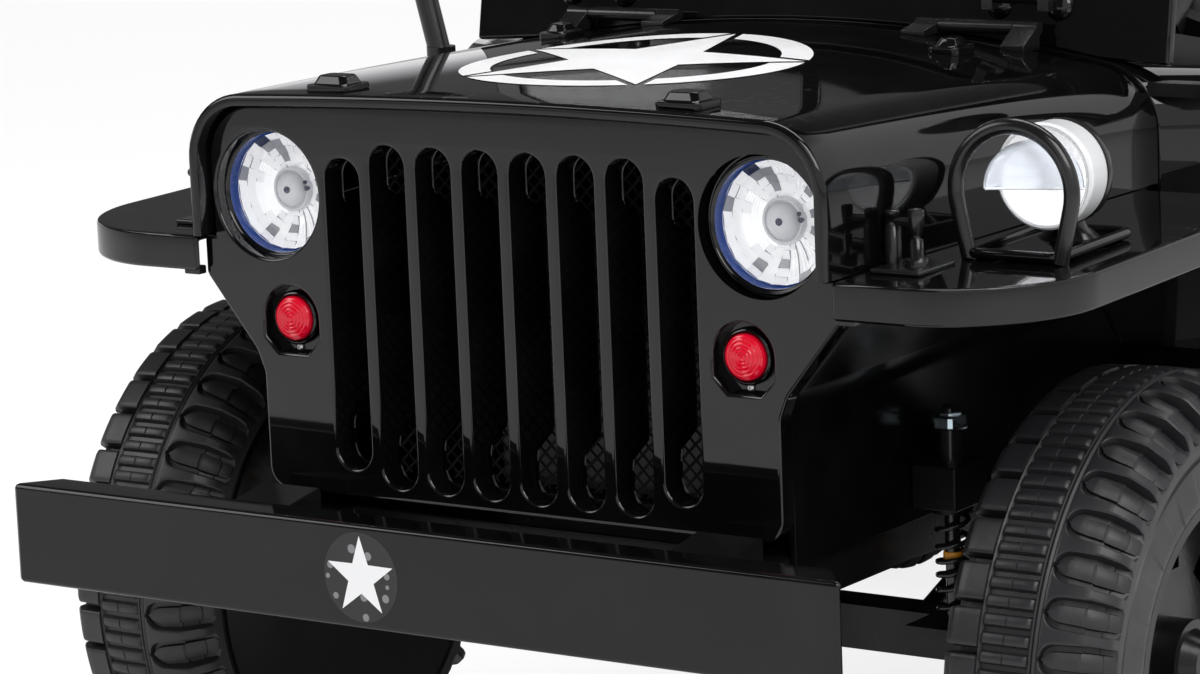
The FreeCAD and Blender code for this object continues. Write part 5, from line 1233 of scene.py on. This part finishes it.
seats = {
    "voxel": 0.005, "pressure": 4, "frames": 20, "cap": 7, "seams": (0.27, 0.73), "seamHalf": 7, "seamDeep": 4,
    "cushion": ((20.0, 45, 319), (216.0, 240, 350), 12), "back": ((24.0, -12, 6), (211.0, 12, 192), 10),
    "backPlace": (0, 0.244, 0.369), "backTilt": math.radians(12),
}


def blowUp(piece):
    remesh = piece.modifiers.new("remesh", "REMESH")
    remesh.mode = "VOXEL"
    remesh.voxel_size = seats["voxel"]
    piece.data = evaluated(piece)
    piece.modifiers.clear()
    before = [v.co.copy() for v in piece.data.vertices]
    settings = piece.modifiers.new("cloth", "CLOTH").settings
    settings.use_pressure = True
    settings.uniform_pressure_force = seats["pressure"]
    settings.effector_weights.gravity = 0
    settings.mass = 0.3
    settings.quality = 5
    for step in range(seats["frames"]):
        scene.frame_set(step + 1)
    blown = evaluated(piece)
    piece.modifiers.clear()
    scene.frame_set(1)
    for v, old in zip(blown.vertices, before):
        move = v.co - old
        if move.length > seats["cap"] * mm:
            v.co = old + move.normalized() * seats["cap"] * mm
    piece.data = blown
    divide = piece.modifiers.new("divide", "SUBSURF")
    divide.levels = divide.render_levels = 1
    piece.data = evaluated(piece)
    piece.modifiers.clear()


def sew(mesh, x0, x1, press):        # two seams along the pad, pressed in on its front face
    half = seats["seamHalf"]
    for v in mesh.vertices:
        x = v.co.x / mm
        for line in [slope(x0, x1, share) for share in seats["seams"]]:
            if abs(x - line) < half:
                v.co += press(v.co) * (-(1 - abs(x - line) / half) ** 2 * seats["seamDeep"] * mm)


def addSeatPad(kind, side, sign, place, press, nodeName):
    low, high, soft = seats[kind]
    mesh = boxMesh(low, high, soft, sign)
    mesh.transform(place)
    piece = placed("seat_" + kind + "_" + side, mesh)
    blowUp(piece)
    mesh = piece.data
    sew(mesh, *sorted((sign * low[0], sign * high[0])), press)
    mesh.materials.clear()
    mesh.materials.append(seatCover)
    mesh.shade_smooth()
    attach(piece, "body")
    if sign == 1:
        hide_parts(nodeName)


def pressDown(co):
    return Vector((0, 0, 1 if co.z > 0.335 else 0))


def pressBack(co):
    _, y, z = seats["backPlace"]
    return Vector((0, -1 if co.y < y + (co.z - z) * math.tan(seats["backTilt"]) else 0, 0))


tilted = Matrix.Translation(seats["backPlace"]) @ Matrix.Rotation(-seats["backTilt"], 4, "X")
for side, sign in bothSides:
    addSeatPad("cushion", side, sign, Matrix.Identity(4), pressDown, "seat_cushions")
for side, sign in bothSides:
    addSeatPad("back", side, sign, tilted, pressBack, "seat_back_pads")
print("seats made")


# ---- studio: pale floor, soft lamps, white round about

studio = {
    "floor": 14.0, "floorColour": (0.8, 0.8, 0.805), "shadowShare": 0.16, "fill": (0.6, 0.6, 0.6),
    # what gloss sees: height and grey of a band all round, and of the white wall behind the car's left
    "band": ((0.03, 0.9), (0.10, 0.10), (0.3, 0.09), (0.7, 0.06)), "wall": ((0.6, 0.85, 0.86), (0.7, 0.06, 0.062)),
    "wallFrom": (-0.02, 0.1), "aim": (0, -0.2, 0.3),
    "key": {"place": (2.6, -1.6, 3.0), "size": (2.4, 2.4), "power": 95},
    "side": {"place": (-2.8, -2.2, 2.4), "size": (2.0, 2.0), "power": 45},
    "top": {"place": (0.0, 0.9, 3.2), "size": (2.6, 1.2), "power": 40},
}


def makeFloor():
    colour, share, s = studio["floorColour"], studio["shadowShare"], studio["floor"]
    mat = newMaterial("floorPale", colour, 0.9, Emission_Color=(1, 1, 1, 1))
    ray = addNode(mat, "LightPath")
    glow = ramp(mat, ray, (0, 1), (0, 1 - share), "Is Camera Ray")
    mix = colourMix(mat, colour, [c * share * 1.25 for c in colour])
    wire(mat, ray, mix, "Factor", "Is Camera Ray")
    wire(mat, mix, shaderOf(mat), "Base Color", 2)
    wire(mat, glow, shaderOf(mat), "Emission Strength")
    mesh = bpy.data.meshes.new("floor")
    mesh.from_pydata([(-s, -s, 0), (s, -s, 0), (s, s, 0), (-s, s, 0)], [], [(0, 1, 2, 3)])
    mesh.materials.append(mat)
    placed("floor", mesh)


def addLamp(name, place, size, power):
    light = bpy.data.lights.new(name, "AREA")
    light.shape = "RECTANGLE"
    light.size, light.size_y = size
    light.energy = power
    lamp = placed(name, light)
    lamp.location = place
    lamp.rotation_euler = (Vector(studio["aim"]) - Vector(place)).to_track_quat("-Z", "Y").to_euler()


def makeWorld():
    world = bpy.data.worlds.new("studio")
    world.use_nodes = True
    ray = addNode(world, "LightPath")
    axes = addNode(world, "SeparateXYZ")
    wire(world, addNode(world, "TexCoord"), axes, 0, "Generated")
    band = addNode(world, "ValToRGB")
    stops = band.color_ramp.elements
    stops[0].color = (1, 1, 1, 1)
    stops[1].color = (0.10, 0.10, 0.105, 1)
    for place, grey in studio["band"]:
        stops.new(place).color = (grey, grey, grey * 1.03, 1)
    wall = addNode(world, "ValToRGB")
    for stop, (place, grey, blue) in zip(wall.color_ramp.elements, studio["wall"]):
        stop.position, stop.color = place, (grey, grey, blue, 1)
    behind = ramp(world, axes, studio["wallFrom"], output="X")
    around = colourMix(world, (0, 0, 0), (0, 0, 0))        # the band, or the wall behind the car's left
    soft = colourMix(world, studio["fill"], (0, 0, 0))        # even light, or what gloss and glass see
    seen = colourMix(world, (0, 0, 0), (1, 1, 1))        # and plain white for the camera
    gloss = combine(world, "MAXIMUM", (ray, "Is Glossy Ray"), (ray, "Is Transmission Ray"))
    wire(world, axes, band, "Fac", "Z")
    wire(world, axes, wall, "Fac", "Z")
    wire(world, behind, around, "Factor")
    wire(world, band, around, 6)
    wire(world, wall, around, 7)
    wire(world, gloss, soft, "Factor")
    wire(world, around, soft, 7, 2)
    wire(world, ray, seen, "Factor", "Is Camera Ray")
    wire(world, soft, seen, 6, 2)
    wire(world, seen, world.node_tree.nodes["Background"], "Color", 2)
    scene.world = world


makeFloor()
for name in ("key", "side", "top"):
    addLamp(name + "Lamp", **studio[name])
makeWorld()
print("studio made")
